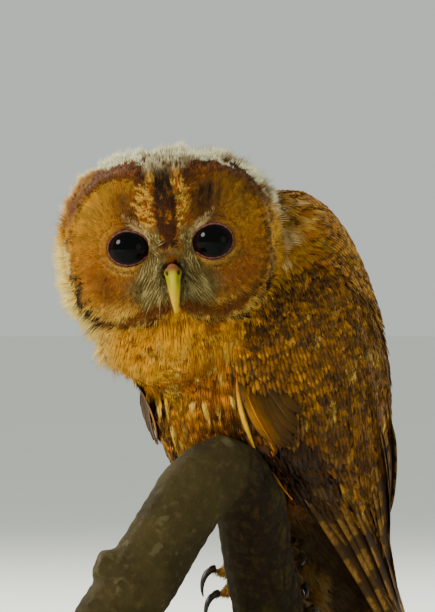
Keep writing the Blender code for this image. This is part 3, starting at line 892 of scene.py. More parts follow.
def lid_ring(side, lid_colour, steps=96, sides=12):
    """A bare eyelid: a thin wrinkled ring round the eye's opening, dark where it meets the eye."""
    form = bmesh.new()
    rings, colours = [], []
    for k in range(steps):
        a = math.tau * k / steps
        wide, tall, corner = lid_reach(a)
        x, z = wide * math.cos(a), tall * math.sin(a)
        lift = globe_height(x, z) - 0.5 * MM * corner
        fold = 0.06 * math.sin(17 * a) + 0.05 * math.sin(31 * a + 1)
        thick = (0.46 + 0.16 * max(0.0, math.sin(a)) + fold) * MM
        ring = []
        for j in range(sides):
            b = math.tau * j / sides
            c, s = math.cos(b), math.sin(b)
            away = thick * (1.3 if c > 0 else 0.7) * c
            out = thick * (1.0 - 0.85 * max(0.0, c)) * (1 if s > 0 else 2.2) * s
            share = 1 + away / math.hypot(x, z)
            place = (side * (EYE_OUT * MM + x * share), -(EYE_SET + lift + out - 0.35 * MM), z * share)
            ring.append(form.verts.new(HEAD_MATRIX @ Vector(place)))
            # painted shade across the ring: darkest where it meets the eye, a little dark on its outer edge
            painted_shading = 0.25 + 0.75 * float(ramp(c, -0.75, 0.1)) - 0.35 * float(ramp(c, 0.5, 1.0))
            colours.append(lid_colour * painted_shading * (1 + 3.0 * fold))
        rings.append(ring)
    for ring, following in zip(rings, rings[1:] + rings[:1]):
        bridge(form, ring, following)
    mesh = closed_mesh(form, "lid")
    store_colours(mesh, "marking", np.array(colours))
    return mesh


def toe_ends():
    """Rounded ends that carry each toe on to the root of its claw."""
    ends = []
    for name in CLAWS:
        tree = search_tree(NODES["foot_" + name.split("_")[1]].data)
        corners = [v.co for v in NODES[name].data.vertices]
        root = min(corners, key=lambda c: tree.find_nearest(c)[3])
        near = [c for c in corners if (c - root).length < 3.2 * MM]
        root = sum(near, Vector()) / len(near)
        toe = tree.find_nearest(root)[0]
        inside = toe + (toe - root).normalized() * 3.0 * MM
        form = bmesh.new()
        for k in range(6):
            place = Matrix.Translation(inside.lerp(root, k / 5))
            bmesh.ops.create_icosphere(form, subdivisions=2, radius=(3.1 - 0.14 * k) * MM, matrix=place)
        ends.append(mesh_of(form, "toe_end"))
    return ends


def seeker(points):
    """A tree that finds the nearest of many points."""
    seek = KDTree(len(points))
    for i, p in enumerate(points):
        seek.insert(p, i)
    seek.balance()
    return seek


def make_skin(settings):
    """One skin for all the flesh, fused, smoothed, and sunk by the depth of the coat."""
    MADE["flesh"] = flesh_tree()
    copies = [merged_copy(name, SKIN_GROWTH) for name in FLESH]
    copies += [merged_copy(name, -0.2 * MM) for name in ("eye_left", "eye_right")]
    skin = remeshed("owl_skin", joined(copies + toe_ends(), "owl_skin"), SKIN_VOXEL)
    mesh = skin.data
    points, _ = mesh_arrays(mesh)
    pairs = edge_pairs(mesh)
    for step in (0.55, -0.56) * 4 + (0.5,):
        points = eased(points, pairs, 1, step)
    set_points(mesh, points)
    points, normals = mesh_arrays(mesh)
    kinds = kinds_of(points)
    depth = np.array(list(COAT_DEPTH.values()))[kinds]
    x, _, z = in_head(points)
    beyond = ramp(rim_shares(x, z)[1], 0.94, 1.06) * (kinds == DISC)
    depth = depth + (COAT_DEPTH["head"] - depth) * beyond + SKIN_GROWTH
    bill = search_tree(NODES["bill"].data)
    from_bill = np.array([bill.find_nearest(Vector(p))[3] for p in points])
    depth = eased(depth, pairs, 9)[:, 0]
    depth *= 0.25 + 0.75 * ramp(from_bill, 0.5 * MM, 4 * MM)
    normals = unit(eased(normals, pairs, 3))
    set_points(mesh, points - normals * depth[:, None])
    points, normals = mesh_arrays(mesh)
    faces = [list(p.vertices) for p in mesh.polygons]
    MADE["skin"] = {
        "points": points,
        "normals": unit(eased(normals, pairs, 2)),
        "depth": depth - SKIN_GROWTH,
        "kinds": kinds,
        "tree": BVHTree.FromPolygons([Vector(p) for p in points], faces),
        "seek": seeker(points),
        "faces": np.array([f if len(f) == 4 else f + [f[-1]] for f in faces]),
    }
    base, tips = marking(points, kinds)
    store_colours(mesh, "marking", base * 0.72 + tips * 0.28)
    lids = [lid_ring(side, np.array(settings.lid_colour)) for side in (1, -1)]
    skin.data = joined([mesh.copy(), *lids], "owl_skin_mesh")
    skin.data.materials.append(skin_finish())
    finish_piece(skin, FLESH)


# ---------------------------------------------------------------- tufts and feathers


def template(name, blades):
    """A closed shape for one tuft, of blades that are each a list of sections.

    A section is a list of (place, patch) pairs; the last section of a blade may be one point."""
    form = bmesh.new()
    patches = []
    for sections in blades:
        rings = []
        for section in sections:
            rings.append([form.verts.new(place) for place, _ in section])
            patches += [patch for _, patch in section]
        for low, high in zip(rings, rings[1:]):
            bridge(form, low, high)
        form.faces.new(rings[0][::-1])
        if len(rings[-1]) > 1:
            form.faces.new(rings[-1])
    form.verts.index_update()
    mesh = closed_mesh(form, name)
    store_vectors(mesh, "patch", patches)
    mesh.shade_smooth()
    return linked(name, mesh)


def blade(start, end, width, middle_rise=0.0, side=0.0, thick=0.6, waist=0.9, blunt=0.0):
    """A thin pointed blade of three sides with one bend, from start to end in the tuft's frame.

    blunt is the width it still has close to its tip, for feathers with full ends."""
    start, end = Vector(start), Vector(end)
    centre = start.lerp(end, 0.5) + Vector((side, 0, middle_rise))
    stops = [(start, 0.7), (centre, waist)]
    if blunt:
        stops.append((centre.lerp(end, 0.72) + Vector((side * 0.3, 0, middle_rise * 0.4)), blunt))
    sections = []
    for place, share in stops:
        w = width * share
        row = []
        for dx, dz, dv in ((-w, 0.0, 0.0), (w, 0.0, 0.0), (0.0, w * thick, 0.05)):
            x = place.x + dx
            row.append(((x, place.y, place.z + dz), (0.5 * x, place.y + dv, 0)))
        sections.append(row)
    return [*sections, [(tuple(end), (0.5 * end.x, end.y, 0))]]


def spread_tuft(name, count, spread, rise, width, seed, shortest=0.65, thick=0.6):
    """Blades that part from one root, as down and silky face feathers do."""
    draw = np.random.default_rng(seed)
    blades = []
    for k in range(count):
        aside = spread * ((k + 0.5) / count * 2 - 1 + draw.uniform(-0.25, 0.25))
        length = draw.uniform(shortest, 1.0)
        high = rise * draw.uniform(-0.35, 1.0)
        wide = width * draw.uniform(0.8, 1.2)
        root, tip = (aside * 0.12, 0.0, 0.0), (aside, length, high)
        blades.append(blade(root, tip, wide, high * 0.12 + 0.03, aside * 0.1, thick))
    return template(name, blades)


def fan_feather(name, count, seed, width=0.15, tip=0.25, rise=0.05, blunt=0.0, reach=0.86):
    """A loose body feather: flat blades side by side that fill a rounded outline."""
    draw = np.random.default_rng(seed)
    blades = []
    for k in range(count):
        share = (k + 0.5) / count * 2 - 1
        length = math.sqrt(max(1 - (share * 0.86) ** 2, 0.1)) * draw.uniform(1 - tip, 1.0)
        across = share * reach + draw.uniform(-0.06, 0.06)
        end = (across, length, draw.uniform(-rise, rise) - 0.12 * share * share)
        wide = width * draw.uniform(0.85, 1.15)
        bow = 0.08 * (1 - share * share)
        blades.append(blade((share * 0.30, 0.0, 0.0), end, wide, bow, 0.42 * share, 0.35, 1.15, blunt))
    return template(name, blades)


def quill(name, rows=14, webs=4, thick=0.05, arch=0.16, lead=0.55, square=False, mirror=False, spindle=False):
    """A long flight feather: a fine mesh with a narrow leading web and a rounded tip."""
    sections = []
    power = 6.0 if square else 3.0
    for i in range(rows + 1):
        t = i / rows
        close = (1 - max(0.0, (t - 0.62) / 0.38) ** power) ** 0.5 if t < 1 else 0.10
        half = max(math.sin(math.pi * t) ** 1.3 if spindle else min(1.0, 0.25 + 3.2 * t) * close, 0.08)
        top, low = [], []
        for j in range(webs + 1):
            share = j / webs * 2 - 1
            narrow = share > 0 if mirror else share < 0
            x = share * half * (lead if narrow else 1.0)
            z = arch * half * (1 - share * share)
            ridge = 0.06 if j == webs // 2 else 0.0
            top.append(((x, t, z + ridge), (0.5 * share, t, 0)))
            if 0 < j < webs:
                low.append(((x, t, z - thick), (0.5 * share, t + 0.003, 0)))
        sections.append(top + low[::-1])
    return template(name, [sections])


def tuft_tree():
    """The tree that sets a tuft on every root, bends it along the body and gives it its map."""
    tree = bpy.data.node_groups.new("Tufts on roots", "GeometryNodeTree")
    face = tree.interface
    face.new_socket("Geometry", in_out="OUTPUT", socket_type="NodeSocketGeometry")
    for name, kind, value in (
        ("Geometry", "Geometry", None),
        ("Tuft", "Object", None),
        ("Finish", "Material", None),
        ("Ruffle", "Float", 0.0),
        ("Seed", "Int", 1),
        ("Patch", "Vector", (PATCH_SIZE, PATCH_SIZE, 0.0)),
    ):
        socket = face.new_socket(name, in_out="INPUT", socket_type="NodeSocket" + kind)
        if value is not None:
            socket.default_value = value

    def put(kind, inputs=None, **settings):
        return wire(tree, kind, inputs, **settings).outputs[0]

    def named(name):
        return put("GeometryNodeInputNamedAttribute", {"Name": name}, data_type="FLOAT_VECTOR")

    def vectors(operation, first, second):
        inputs = {0: first, 3 if operation == "SCALE" else 1: second}
        return put("ShaderNodeVectorMath", inputs, operation=operation)

    def product(first, second):
        return put("ShaderNodeMath", {0: first, 1: second}, operation="MULTIPLY")

    given = wire(tree, "NodeGroupInput").outputs
    axes = {"Primary Axis": named("lie"), "Secondary Axis": named("up")}
    turn = put("FunctionNodeAxesToRotation", axes, primary_axis="Y", secondary_axis="Z")
    tuft = wire(tree, "GeometryNodeObjectInfo", {"Object": given["Tuft"], "As Instance": True})
    copies = {"Points": given["Geometry"], "Instance": tuft.outputs["Geometry"], "Rotation": turn}
    set_out = put("GeometryNodeInstanceOnPoints", {**copies, "Scale": named("size")})
    real = put("GeometryNodeRealizeInstances", {"Geometry": set_out})
    patch = named("patch")
    along = wire(tree, "ShaderNodeSeparateXYZ", {0: patch}).outputs[1]
    bend = vectors("SCALE", named("droop"), product(along, along))
    field = {"Vector": put("GeometryNodeInputPosition"), "W": given["Seed"], "Scale": 420.0, "Detail": 1.0}
    stray = wire(tree, "ShaderNodeTexNoise", field, noise_dimensions="4D").outputs["Color"]
    stray = vectors("SUBTRACT", stray, (0.5, 0.5, 0.5))
    offset = vectors("ADD", bend, vectors("SCALE", stray, product(along, given["Ruffle"])))
    moved = put("GeometryNodeSetPosition", {"Geometry": real, "Offset": offset})
    spot = vectors("ADD", named("root_uv"), vectors("MULTIPLY", patch, given["Patch"]))
    mapped = wire(tree, "GeometryNodeStoreNamedAttribute", data_type="FLOAT2", domain="CORNER")
    tree.links.new(moved, mapped.inputs["Geometry"])
    mapped.inputs["Name"].default_value = "OFBake"
    tree.links.new(spot, mapped.inputs["Value"])
    dressed = put("GeometryNodeSetMaterial", {"Geometry": mapped.outputs[0], "Material": given["Finish"]})
    wire(tree, "NodeGroupOutput", {"Geometry": dressed})
    return tree


KEPT = {"patch", "tint_root", "tint_tip", "mark", "OFBake", "position", "sharp_face", "material_index"}


def plant(name, tuft, roots, finish, ruffle, seed, patch=(PATCH_SIZE, PATCH_SIZE, 0.0)):
    """Sets one kind of tuft on its roots with Geometry Nodes and leaves a plain mesh."""
    if len(roots["at"]) == 0:
        raise RuntimeError(f"{name} has no roots")
    mesh = bpy.data.meshes.new(name)
    mesh.from_pydata(roots["at"].tolist(), [], [])
    for key in ("lie", "up", "size", "droop", "root_uv", "mark"):
        store_vectors(mesh, key, roots[key])
    for key in ("tint_root", "tint_tip"):
        store_colours(mesh, key, roots[key])
    piece = linked(name, mesh)
    tree = MADE.get("tree") or MADE.setdefault("tree", tuft_tree())
    ids = {item.name: item.identifier for item in tree.interface.items_tree if item.in_out == "INPUT"}
    modifier = piece.modifiers.new("Tufts", "NODES")
    modifier.node_group = tree
    given = {"Tuft": tuft, "Finish": finish, "Ruffle": ruffle, "Seed": seed, "Patch": patch}
    for key, value in given.items():
        modifier[ids[key]] = value
    made = plain_mesh(piece)
    for extra in [a.name for a in made.attributes if not a.name.startswith(".") and a.name not in KEPT]:
        spare = made.attributes.get(extra)
        if spare is not None and not spare.is_required:
            made.attributes.remove(spare)
    made.uv_layers["OFBake"].active_render = True
    finish_piece(piece)


def skin_spots(where, spacing, seed, tries=7):
    """Places spread over the skin where where() is true, no two nearer than the spacing."""
    skin = MADE["skin"]
    points, faces = skin["points"], skin["faces"]
    first = faces[:, 0]
    faces_at = Places(points[faces].mean(axis=1), skin["kinds"][first], skin["normals"][first])
    chosen = np.nonzero(where(faces_at))[0]
    a, b, c, d = (points[faces[chosen, j]] for j in range(4))
    area = np.linalg.norm(np.cross(c - a, d - b), axis=1) / 2
    draw = np.random.default_rng(seed)
    number = int(area.sum() / spacing**2 * tries)
    pick = draw.choice(len(chosen), size=number, p=area / area.sum())
    u, v = draw.random((2, number, 1))
    spots = (a[pick] * (1 - u) + b[pick] * u) * (1 - v) + (d[pick] * (1 - u) + c[pick] * u) * v
    seek = seeker(spots)
    alive = np.ones(number, bool)
    for i in range(number):
        if alive[i]:
            for _, j, _ in seek.find_range(spots[i], spacing):
                if j > i:
                    alive[j] = False
    spots = spots[alive]
    near = np.array([skin["seek"].find(p)[1] for p in spots])
    return spots, skin["normals"][near], skin["kinds"][near]


def on_skin(places):
    """The nearest skin point, its normal and the coat's depth there, for each place."""
    skin = MADE["skin"]
    spots = np.array([skin["tree"].find_nearest(Vector(p))[0] for p in places])
    near = np.array([skin["seek"].find(p)[1] for p in spots])
    return spots, skin["normals"][near], skin["depth"][near]


def flat_to(vectors, normals):
    """Vectors laid into the surface, at length 1."""
    return unit(vectors - normals * np.sum(vectors * normals, axis=1, keepdims=True))


def lay(at, normals, lie, length, width, thick, mid_lift=0.5, tip_lift=0.95):
    """Feathers that follow the body: each bends through a point half way and one at its tip."""
    lie = flat_to(lie, normals)
    length = column(length, len(at))
    half, half_normals, half_depth = on_skin(at + lie * length * 0.5)
    end, end_normals, end_depth = on_skin(at + lie * length)
    lost = (np.linalg.norm(end - at, axis=1) < 0.55 * length[:, 0])[:, None]
    half = np.where(lost, at + lie * length * 0.32, half)
    end = np.where(lost, at + lie * length * 0.6, end)
    half = half + half_normals * half_depth[:, None] * mid_lift
    end = end + end_normals * end_depth[:, None] * column(tip_lift, len(at))
    return through(at - normals * ROOT_DEPTH, half, end, normals, width, thick)


def stand(at, normals, lie, length, width, thick, lean, curl=0.2):
    """Down that stands off the skin by a lean in radians and curls over along the lie."""
    lie = flat_to(lie, normals)
    lean, length = column(lean, len(at)), column(length, len(at))
    first = (lie * np.cos(lean) + normals * np.sin(lean)) * length
    second = (lie * 0.5 - normals * 0.5) * length * curl
    return bundle(at - normals * ROOT_DEPTH, first, normals, second, width, thick)


def bundle(start, first, normals, second, width, thick):
    size = vec(width, np.linalg.norm(first, axis=1), thick)
    return {"at": start, "lie": unit(first), "up": normals, "droop": second, "size": size}


def through(start, half, end, up, width, thick):
    """Feathers that bend through three points each."""
    return bundle(start, -3 * start + 4 * half - end, up, 2 * start - 4 * half + 2 * end, width, thick)


def spread_map(u, v, margin=0.012):
    """Places on an unwrap, stretched to fill the map."""
    pairs = np.stack([u, v], axis=1)
    low, high = pairs.min(axis=0), pairs.max(axis=0)
    flat = margin + (pairs - low) / np.maximum(high - low, 1e-9) * (1 - 2 * margin)
    return vec(*flat.T, 0)


def head_map(points):
    """The head unwrapped round its middle, by degrees round and degrees up."""
    x, y, z = into(HEAD_MATRIX, points).T
    return spread_map(np.arctan2(x, -y), np.arctan2(z, np.hypot(x, y)))


def body_map(points):
    """The body unwrapped round its axis, by degrees round and height."""
    return spread_map(*bird_places(points)[::-1])


def foot_map(points):
    """Each foot unwrapped round the limb it grips, by angle and height."""
    right = points[:, 0] - (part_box("perch_limb")[1].x - 0.018)
    return spread_map(np.arctan2(right, -points[:, 1] - 0.02), points[:, 2])


def coloured(roots, kinds, points, draw, shade, streak=0.0, bars=0.0):
    """Adds each root's colours and marks, its colours varied by a shade."""
    base, tips = marking(points, kinds)
    vary = (1 + draw.uniform(-shade, shade, len(points)))[:, None]
    roots["tint_root"], roots["tint_tip"] = base * vary, tips * vary
    roots["mark"] = vec(streak, bars, draw.random(len(points)))


class Places:
    """Points on the skin: the flesh that each is on, and where it lies on the head and on the body."""

    def __init__(self, points, kinds, normals=None):
        self.at, self.kinds, self.normals = points, kinds, normals
        self.x, self.y, self.z = in_head(points)
        self.height, self.angle = bird_places(points)
        self.side = np.abs(self.x)

    def on(self, *kinds):
        return np.isin(self.kinds, kinds)


class Bed(Places):
    """Feather roots spread over the skin, from which one piece of the coat grows."""

    def __init__(self, where, spacing, seed, draw, unwrap):
        points, normals, kinds = skin_spots(where, spacing * MM, seed)
        super().__init__(points, kinds, normals)
        self.draw, self.unwrap, self.flesh = draw, unwrap, kinds

    def keep(self, mask):
        for name in ("at", "kinds", "flesh", "normals", "x", "y", "z", "side", "height", "angle"):
            setattr(self, name, getattr(self, name)[mask])

    def some(self, low, high):
        return self.draw.uniform(low, high, len(self.at))

    def chance(self, share):
        return self.draw.random(len(self.at)) < share

    def lay(self, lie, length, width, thick, *lifts):
        self.roots = lay(self.at, self.normals, lie, length, width * MM, thick * MM, *lifts)

    def stand(self, lie, length, width, thick, *lean):
        self.roots = stand(self.at, self.normals, lie, length, width * MM, thick * MM, *lean)

    def colour(self, shade, streak=0.0, bars=0.0):
        coloured(self.roots, self.flesh, self.at, self.draw, shade, streak, bars)

    def two_tones(self, share, pale_root, dark_root, pale_tip, dark_tip):
        """Some of the roots pale, the rest dark."""
        pale = self.chance(share)[:, None]
        self.roots["tint_root"] = np.where(pale, tone(*pale_root), tone(*dark_root))
        self.roots["tint_tip"] = np.where(pale, tone(*pale_tip), tone(*dark_tip))

    def plant(self, name, tuft, finish, slot, ruffle, seed):
        self.roots["root_uv"] = self.unwrap(self.at)
        plant(name, tuft, self.roots, finish, ruffle, seed)


def head_lie(points):
    """Feathers run from the bill back over the head, and down behind it."""
    local = into(HEAD_MATRIX, points)
    away = unit(local - np.array((0, -50, -14)) * MM)
    down = np.array((0.0, 0.25, -1.0))
    share = ramp(local[:, 1], -10 * MM, 30 * MM)[:, None]
    low = ramp(local[:, 2], -12 * MM, -34 * MM)[:, None]
    return turned(HEAD_MATRIX, away * (1 - share) * (1 - 0.6 * low) + down * (share + 0.9 * low))


def body_lie(points):
    """Feathers of the body run down and a little back, more so towards the tail."""
    height, angle = bird_places(points)
    back = 0.15 + 0.9 * ramp(height, 0.0, -0.12) + 1.5 * ramp(height, 0.058, 0.084)
    return turned(BIRD_MATRIX, vec(0.18 * np.sin(np.radians(angle)), back, -1.0))


def disc_lie(points):
    """Face feathers radiate from the eye, and those of the forehead run up from the bill."""
    x, _, z = in_head(points)
    share = ramp(np.abs(x), 15, 8)[:, None]
    from_eye, from_bill = unit(vec(x - outward(x) * EYE_OUT, 0, z)), unit(vec(x * 1.15, 0, z + 4))
    return turned(HEAD_MATRIX, from_eye * (1 - share) + from_bill * share)


def round_eyes(points, lie):
    """Turns the feathers beside an eye so that they pass round it, not over it."""
    x, _, z = in_head(points)
    to_eye = vec(outward(x) * EYE_OUT - x, 0 * x, -z)
    close = ramp(np.linalg.norm(to_eye, axis=1), 20.5, 15)[:, None]
    to_eye, lie = turned(HEAD_MATRIX, unit(to_eye)), unit(lie)
    toward = np.maximum(np.sum(lie * to_eye, axis=1), 0)[:, None] * close
    return lie + (0.75 * head_way(0, 0, np.where(z > 1, 1.0, -1.0)) - 1.05 * to_eye) * toward


def front_of_head(s):
    """True on the face: both discs with their rims, the forehead and the chin."""
    face = (rim_shares(s.x, s.z)[1] < 1.0) | ((s.side < 9) & (s.z > 0) & (s.z < 43))
    return s.on(DISC, HEAD) & (s.y < -12) & face & (s.z > -37.5)


def clear_of_eyes(s, gap=9.7):
    return eye_share(s.x, s.z) > gap


def rim_low(x):
    """How low the dark rim reaches, in mm: further on the side towards the wing."""
    return np.where(x < 0, 3.0, -26.0)


def on_face(s):
    inside = disc_share(s.x, s.z) < np.where(s.z > rim_low(s.x), 0.95, 0.93)
    return front_of_head(s) & clear_of_eyes(s) & inside


def on_forehead(s):
    place = (s.side < bar_edge(s.z) + 1.5) & (s.z > 1) | (s.side < 6.5) & (s.z > -10)
    return front_of_head(s) & place & clear_of_eyes(s)


def on_rim(s):
    inner, outer = rim_shares(s.x, s.z)
    band = (inner > 0.91) & (outer < 1.02) & (s.side > 6.5) & (s.z > rim_low(s.x))
    return s.on(DISC, HEAD) & (s.y < -8) & band


def on_ruff(s):
    inner = disc_share(s.x, s.z)
    band = (inner > 0.89) & (inner < 1.03) & (s.z < rim_low(s.x) + 3) & (s.z > -36)
    return s.on(DISC, HEAD) & (s.y < -12) & band


def on_chin(s):
    return front_of_head(s) & (s.z < -20) & (s.side > 2.0)


def on_lores(s):
    beside = (s.side > 3.8) & (s.side < 12) & (s.z > -22) & (s.z < 3)
    return s.on(DISC) & beside & clear_of_eyes(s, 10.3)


def above_bill(s):
    return s.on(DISC) & (s.side < 5.5) & (s.z > -13) & (s.z < -3.5)


def beside_bill(s):
    return s.on(DISC) & (s.side < 7.0) & (s.z > -24) & (s.z < -9)


def off_face(s):
    return s.on(DISC, HEAD) & ~front_of_head(s)


def white_crown(s):
    return (crown_share(s.x, s.y, s.z) > 0.3) & (s.y < 18)


def on_crown(s):
    return off_face(s) & white_crown(s)


def on_cheeks(s):
    head = off_face(s) | (s.on(NECK) & (s.z > -60) & (np.linalg.norm((s.x, s.y, s.z), axis=0) < 66))
    return head & (crown_share(s.x, s.y, s.z) <= 0.6) & (s.y < 14)


def on_nape(s):
    return off_face(s) & (s.y >= 10) & ~white_crown(s)


def behind_head(points, height):
    """1 on the back of the neck, which the bird's own axis leaves in front because the head hangs forward."""
    return ramp(in_head(points)[1], 24, 44) * ramp(height, 0.030, 0.055)


def from_keel(s):
    """Degrees from the keel, with the back of the neck counted as back."""
    return np.where(behind_head(s.at, s.height) > 0.4, 120, np.abs(s.angle))


def on_breast(s):
    side = from_keel(s)
    shoulder = s.on(WING_L, WING_R) & (s.height > 0.012 + 0.0008 * np.maximum(side - 50, 0)) & (side < 84)
    front = side < np.where(s.height > 0.035, 76, 96)
    return (s.on(NECK, TRUNK) & front & (s.height > -0.075)) | shoulder


def on_mantle(s):
    side = from_keel(s)
    rear = side >= np.where(s.height > 0.035, 70, 90)
    shoulder = s.on(WING_L, WING_R) & (s.height > 0.0) & (side >= 80)
    return (s.on(NECK, TRUNK) & rear & (s.height > -0.11)) | shoulder


def on_belly(s):
    return (s.on(NECK, TRUNK) & (s.height <= -0.062) & (np.abs(s.angle) < 150)) | s.on(LEG_L, LEG_R)


def on_feet(s):
    return s.on(FOOT_L, FOOT_R)


def wing_outside(kind):
    def where(s):
        local = into(BIRD_MATRIX, s.at)
        out = local - vec(0, axis_back(local[:, 2]), local[:, 2])
        facing = np.sum(unit(out) * (np.asarray(s.normals) @ np.array(BIRD_MATRIX)[:3, :3]), axis=1)
        return s.on(kind) & (facing > 0.1)

    return where


def near_tail(s):
    outer = np.sum(s.normals * np.array(BIRD_MATRIX.to_3x3() @ TAIL_UP), axis=1) < -0.2
    return s.on(TAIL) & ((along_tail(s.at) < 0.045) | outer)


def along_tail(points):
    return (into(BIRD_MATRIX, points) - np.array(TAIL_ROOT)) @ np.array(TAIL_ALONG)


# ---------------------------------------------------------------- coat pieces


def face_coat(settings):
    """Silky disc feathers, the forehead, the dark rim, the chin and the whiskers."""
    draw = np.random.default_rng(settings.seed)
    soft = plumage_finish("Face feathers", roughness=0.7)
    silk = spread_tuft("silk", 3, 0.9, 0.35, 0.22, 11, 0.8, 0.4)
    short = fan_feather("short_fan", 5, 12, 0.17, 0.3, 0.12)
    fluff = spread_tuft("chin_fluff", 4, 0.8, 0.6, 0.2, 12)
    bristle = spread_tuft("bristle", 4, 0.9, 0.5, 0.075, 13, 0.7, 0.9)

    def bed_on(where, spacing, seed):
        bed = Bed(where, spacing, settings.seed + seed, draw, head_map)
        return bed, bed.x, bed.z

    bed, x, z = bed_on(on_face, 0.98, 1)
    length = (4.0 + 4.4 * ramp(eye_share(x, z), 11, 22)) * MM * bed.some(0.85, 1.15)
    bed.lay(round_eyes(bed.at, disc_lie(bed.at)), length, 0.95, 0.5, 0.5, bed.some(0.35, 0.95))
    bed.colour(0.13)
    bed.plant("coat_disc", silk, soft, "face", 0.8 * MM, 3)

    bed, x, z = bed_on(on_forehead, 1.05, 2)
    lift = bed.some(0.8, 1.9) * (1 + 0.8 * ramp(bed.side, 5, 7) * ramp(z, 34, 26))
    length = (4.4 - 1.8 * ramp(z, 30, 42)) * MM
    bed.lay(head_way(x * 0.035, 0.8 * ramp(z, 28, 42), 1), length, 1.25, 0.9, 0.8, lift)
    bed.colour(0.2)
    bed.plant("coat_forehead", short, soft, "face", 1.2 * MM, 4)

    for name, where, spacing, seed, back, sink, size, lifts, ruffle in (
        ("coat_rim", on_rim, 1.25, 3, 0.55, 0.0, (5.2 * MM, 1.7, 1.0, 0.55), (0.45, 1.0), 1.4),
        ("coat_ruff", on_ruff, 1.2, 6, 0.3, 0.3, (4.2 * MM, 1.5, 0.9, 0.7), (0.6, 1.3), 1.0),
    ):
        bed, x, z = bed_on(where, spacing, seed)
        out = head_way((x - outward(x) * EYE_OUT) / 27, back, (z + 1.5) / 36 - sink)
        bed.lay(out, *size, bed.some(*lifts))
        if where is on_ruff:
            bed.flesh = np.full(len(x), DISC)
        bed.colour(0.25)
        bed.plant(name, short, soft, "face", ruffle * MM, 5)

    bed, x, z = bed_on(on_chin, 1.3, 4)
    bed.lay(head_way(x * 0.03, -0.15, -1), 5.4 * MM, 1.2, 0.8, 0.9, bed.some(1.0, 2.3))
    bed.colour(0.22)
    bed.plant("coat_chin", fluff, soft, "face", 1.2 * MM, 6)

    bed, x, z = bed_on(on_lores, 1.0, 5)
    up = ramp(z, -7, 1)[:, None]
    fall, rise = vec(outward(x) * 0.85, -0.1, -0.25 - ramp(z, 0, -14)), vec(outward(x) * 0.8, 0, 1)
    length = (15 - 9 * ramp(z, -8, 2)) * MM * bed.some(0.6, 1.1)
    lie = round_eyes(bed.at, turned(HEAD_MATRIX, fall * (1 - up) + rise * up))
    bed.lay(lie, length, 2.0, 0.9, 1.3, bed.some(0.7, 1.6))
    bed.colour(0.1)
    bed.two_tones(0.45, (126, 110, 72), (76, 62, 38), (188, 172, 126), (112, 94, 60))
    bed.plant("coat_whiskers", bristle, soft, "face", 1.6 * MM, 7)

    bed, x, z = bed_on(beside_bill, 0.7, 8)
    length = 5.2 * MM * bed.some(0.6, 1.15)
    bed.stand(head_way(x * 0.10, -0.9, -1), length, 1.2, 0.8, bed.some(0.5, 1.0), 0.3)
    bed.colour(0.2)
    bed.two_tones(0.4, (112, 102, 70), (62, 54, 36), (176, 166, 126), (96, 86, 58))
    bed.plant("coat_bill_side", bristle, soft, "face", 0.8 * MM, 7)

    bed, x, z = bed_on(above_bill, 0.62, 7)
    length = 5.0 * MM * bed.some(0.6, 1.1)
    bed.stand(head_way(x * 0.16, -0.25, -1), length, 1.3, 0.8, bed.some(0.25, 0.7), 0.5)
    bed.colour(0.2)
    share = ramp(bed.side, 1.0, 4.5)[:, None]
    bed.roots["tint_root"] = tone(96, 62, 34) * (1 - share) + tone(84, 76, 50) * share
    bed.roots["tint_tip"] = tone(140, 92, 52) * (1 - share) + tone(140, 130, 94) * share
    bed.plant("coat_cere", bristle, soft, "face", 0.8 * MM, 7)
    lid_coat(draw, silk, soft)


def lid_coat(draw, silk, soft):
    """Short feathers in four rows round each eyelid, left out beside the bill."""
    at, lie = [], []
    for side in (-1, 1):
        for row, share in enumerate((1.05, 1.11, 1.18, 1.26)):
            for k in range(110):
                a = math.tau * (k + 0.5 * (row % 2) + draw.uniform(-0.3, 0.3)) / 110
                wide, tall, corner = lid_reach(a)
                x, z = wide * math.cos(a), tall * math.sin(a)
                lift = globe_height(x, z) - (0.5 * corner + 0.7 + 0.25 * row) * MM
                across = side * (EYE_OUT * MM + x * share)
                if math.hypot(across, z * share + 13 * MM) > 12.5 * MM:
                    at.append((across, -(EYE_SET + lift), z * share))
                    lie.append((side * x, 1.5 * MM, z))
    at, lie = out_of(HEAD_MATRIX, np.array(at)), unit(turned(HEAD_MATRIX, np.array(lie)))
    length = 3.1 * MM * draw.uniform(0.7, 1.15, len(at))[:, None]
    face = turned(HEAD_MATRIX, np.tile((0.0, -1.0, 0.0), (len(at), 1)))
    roots = bundle(at, lie * length, face, -face * length * 0.3, 0.85 * MM, 0.45 * MM)
    roots["root_uv"] = head_map(at)
    coloured(roots, np.full(len(at), DISC), at + lie * 1.5 * MM, draw, 0.15)
    plant("coat_lids", silk, roots, soft, 0.4 * MM, 3)


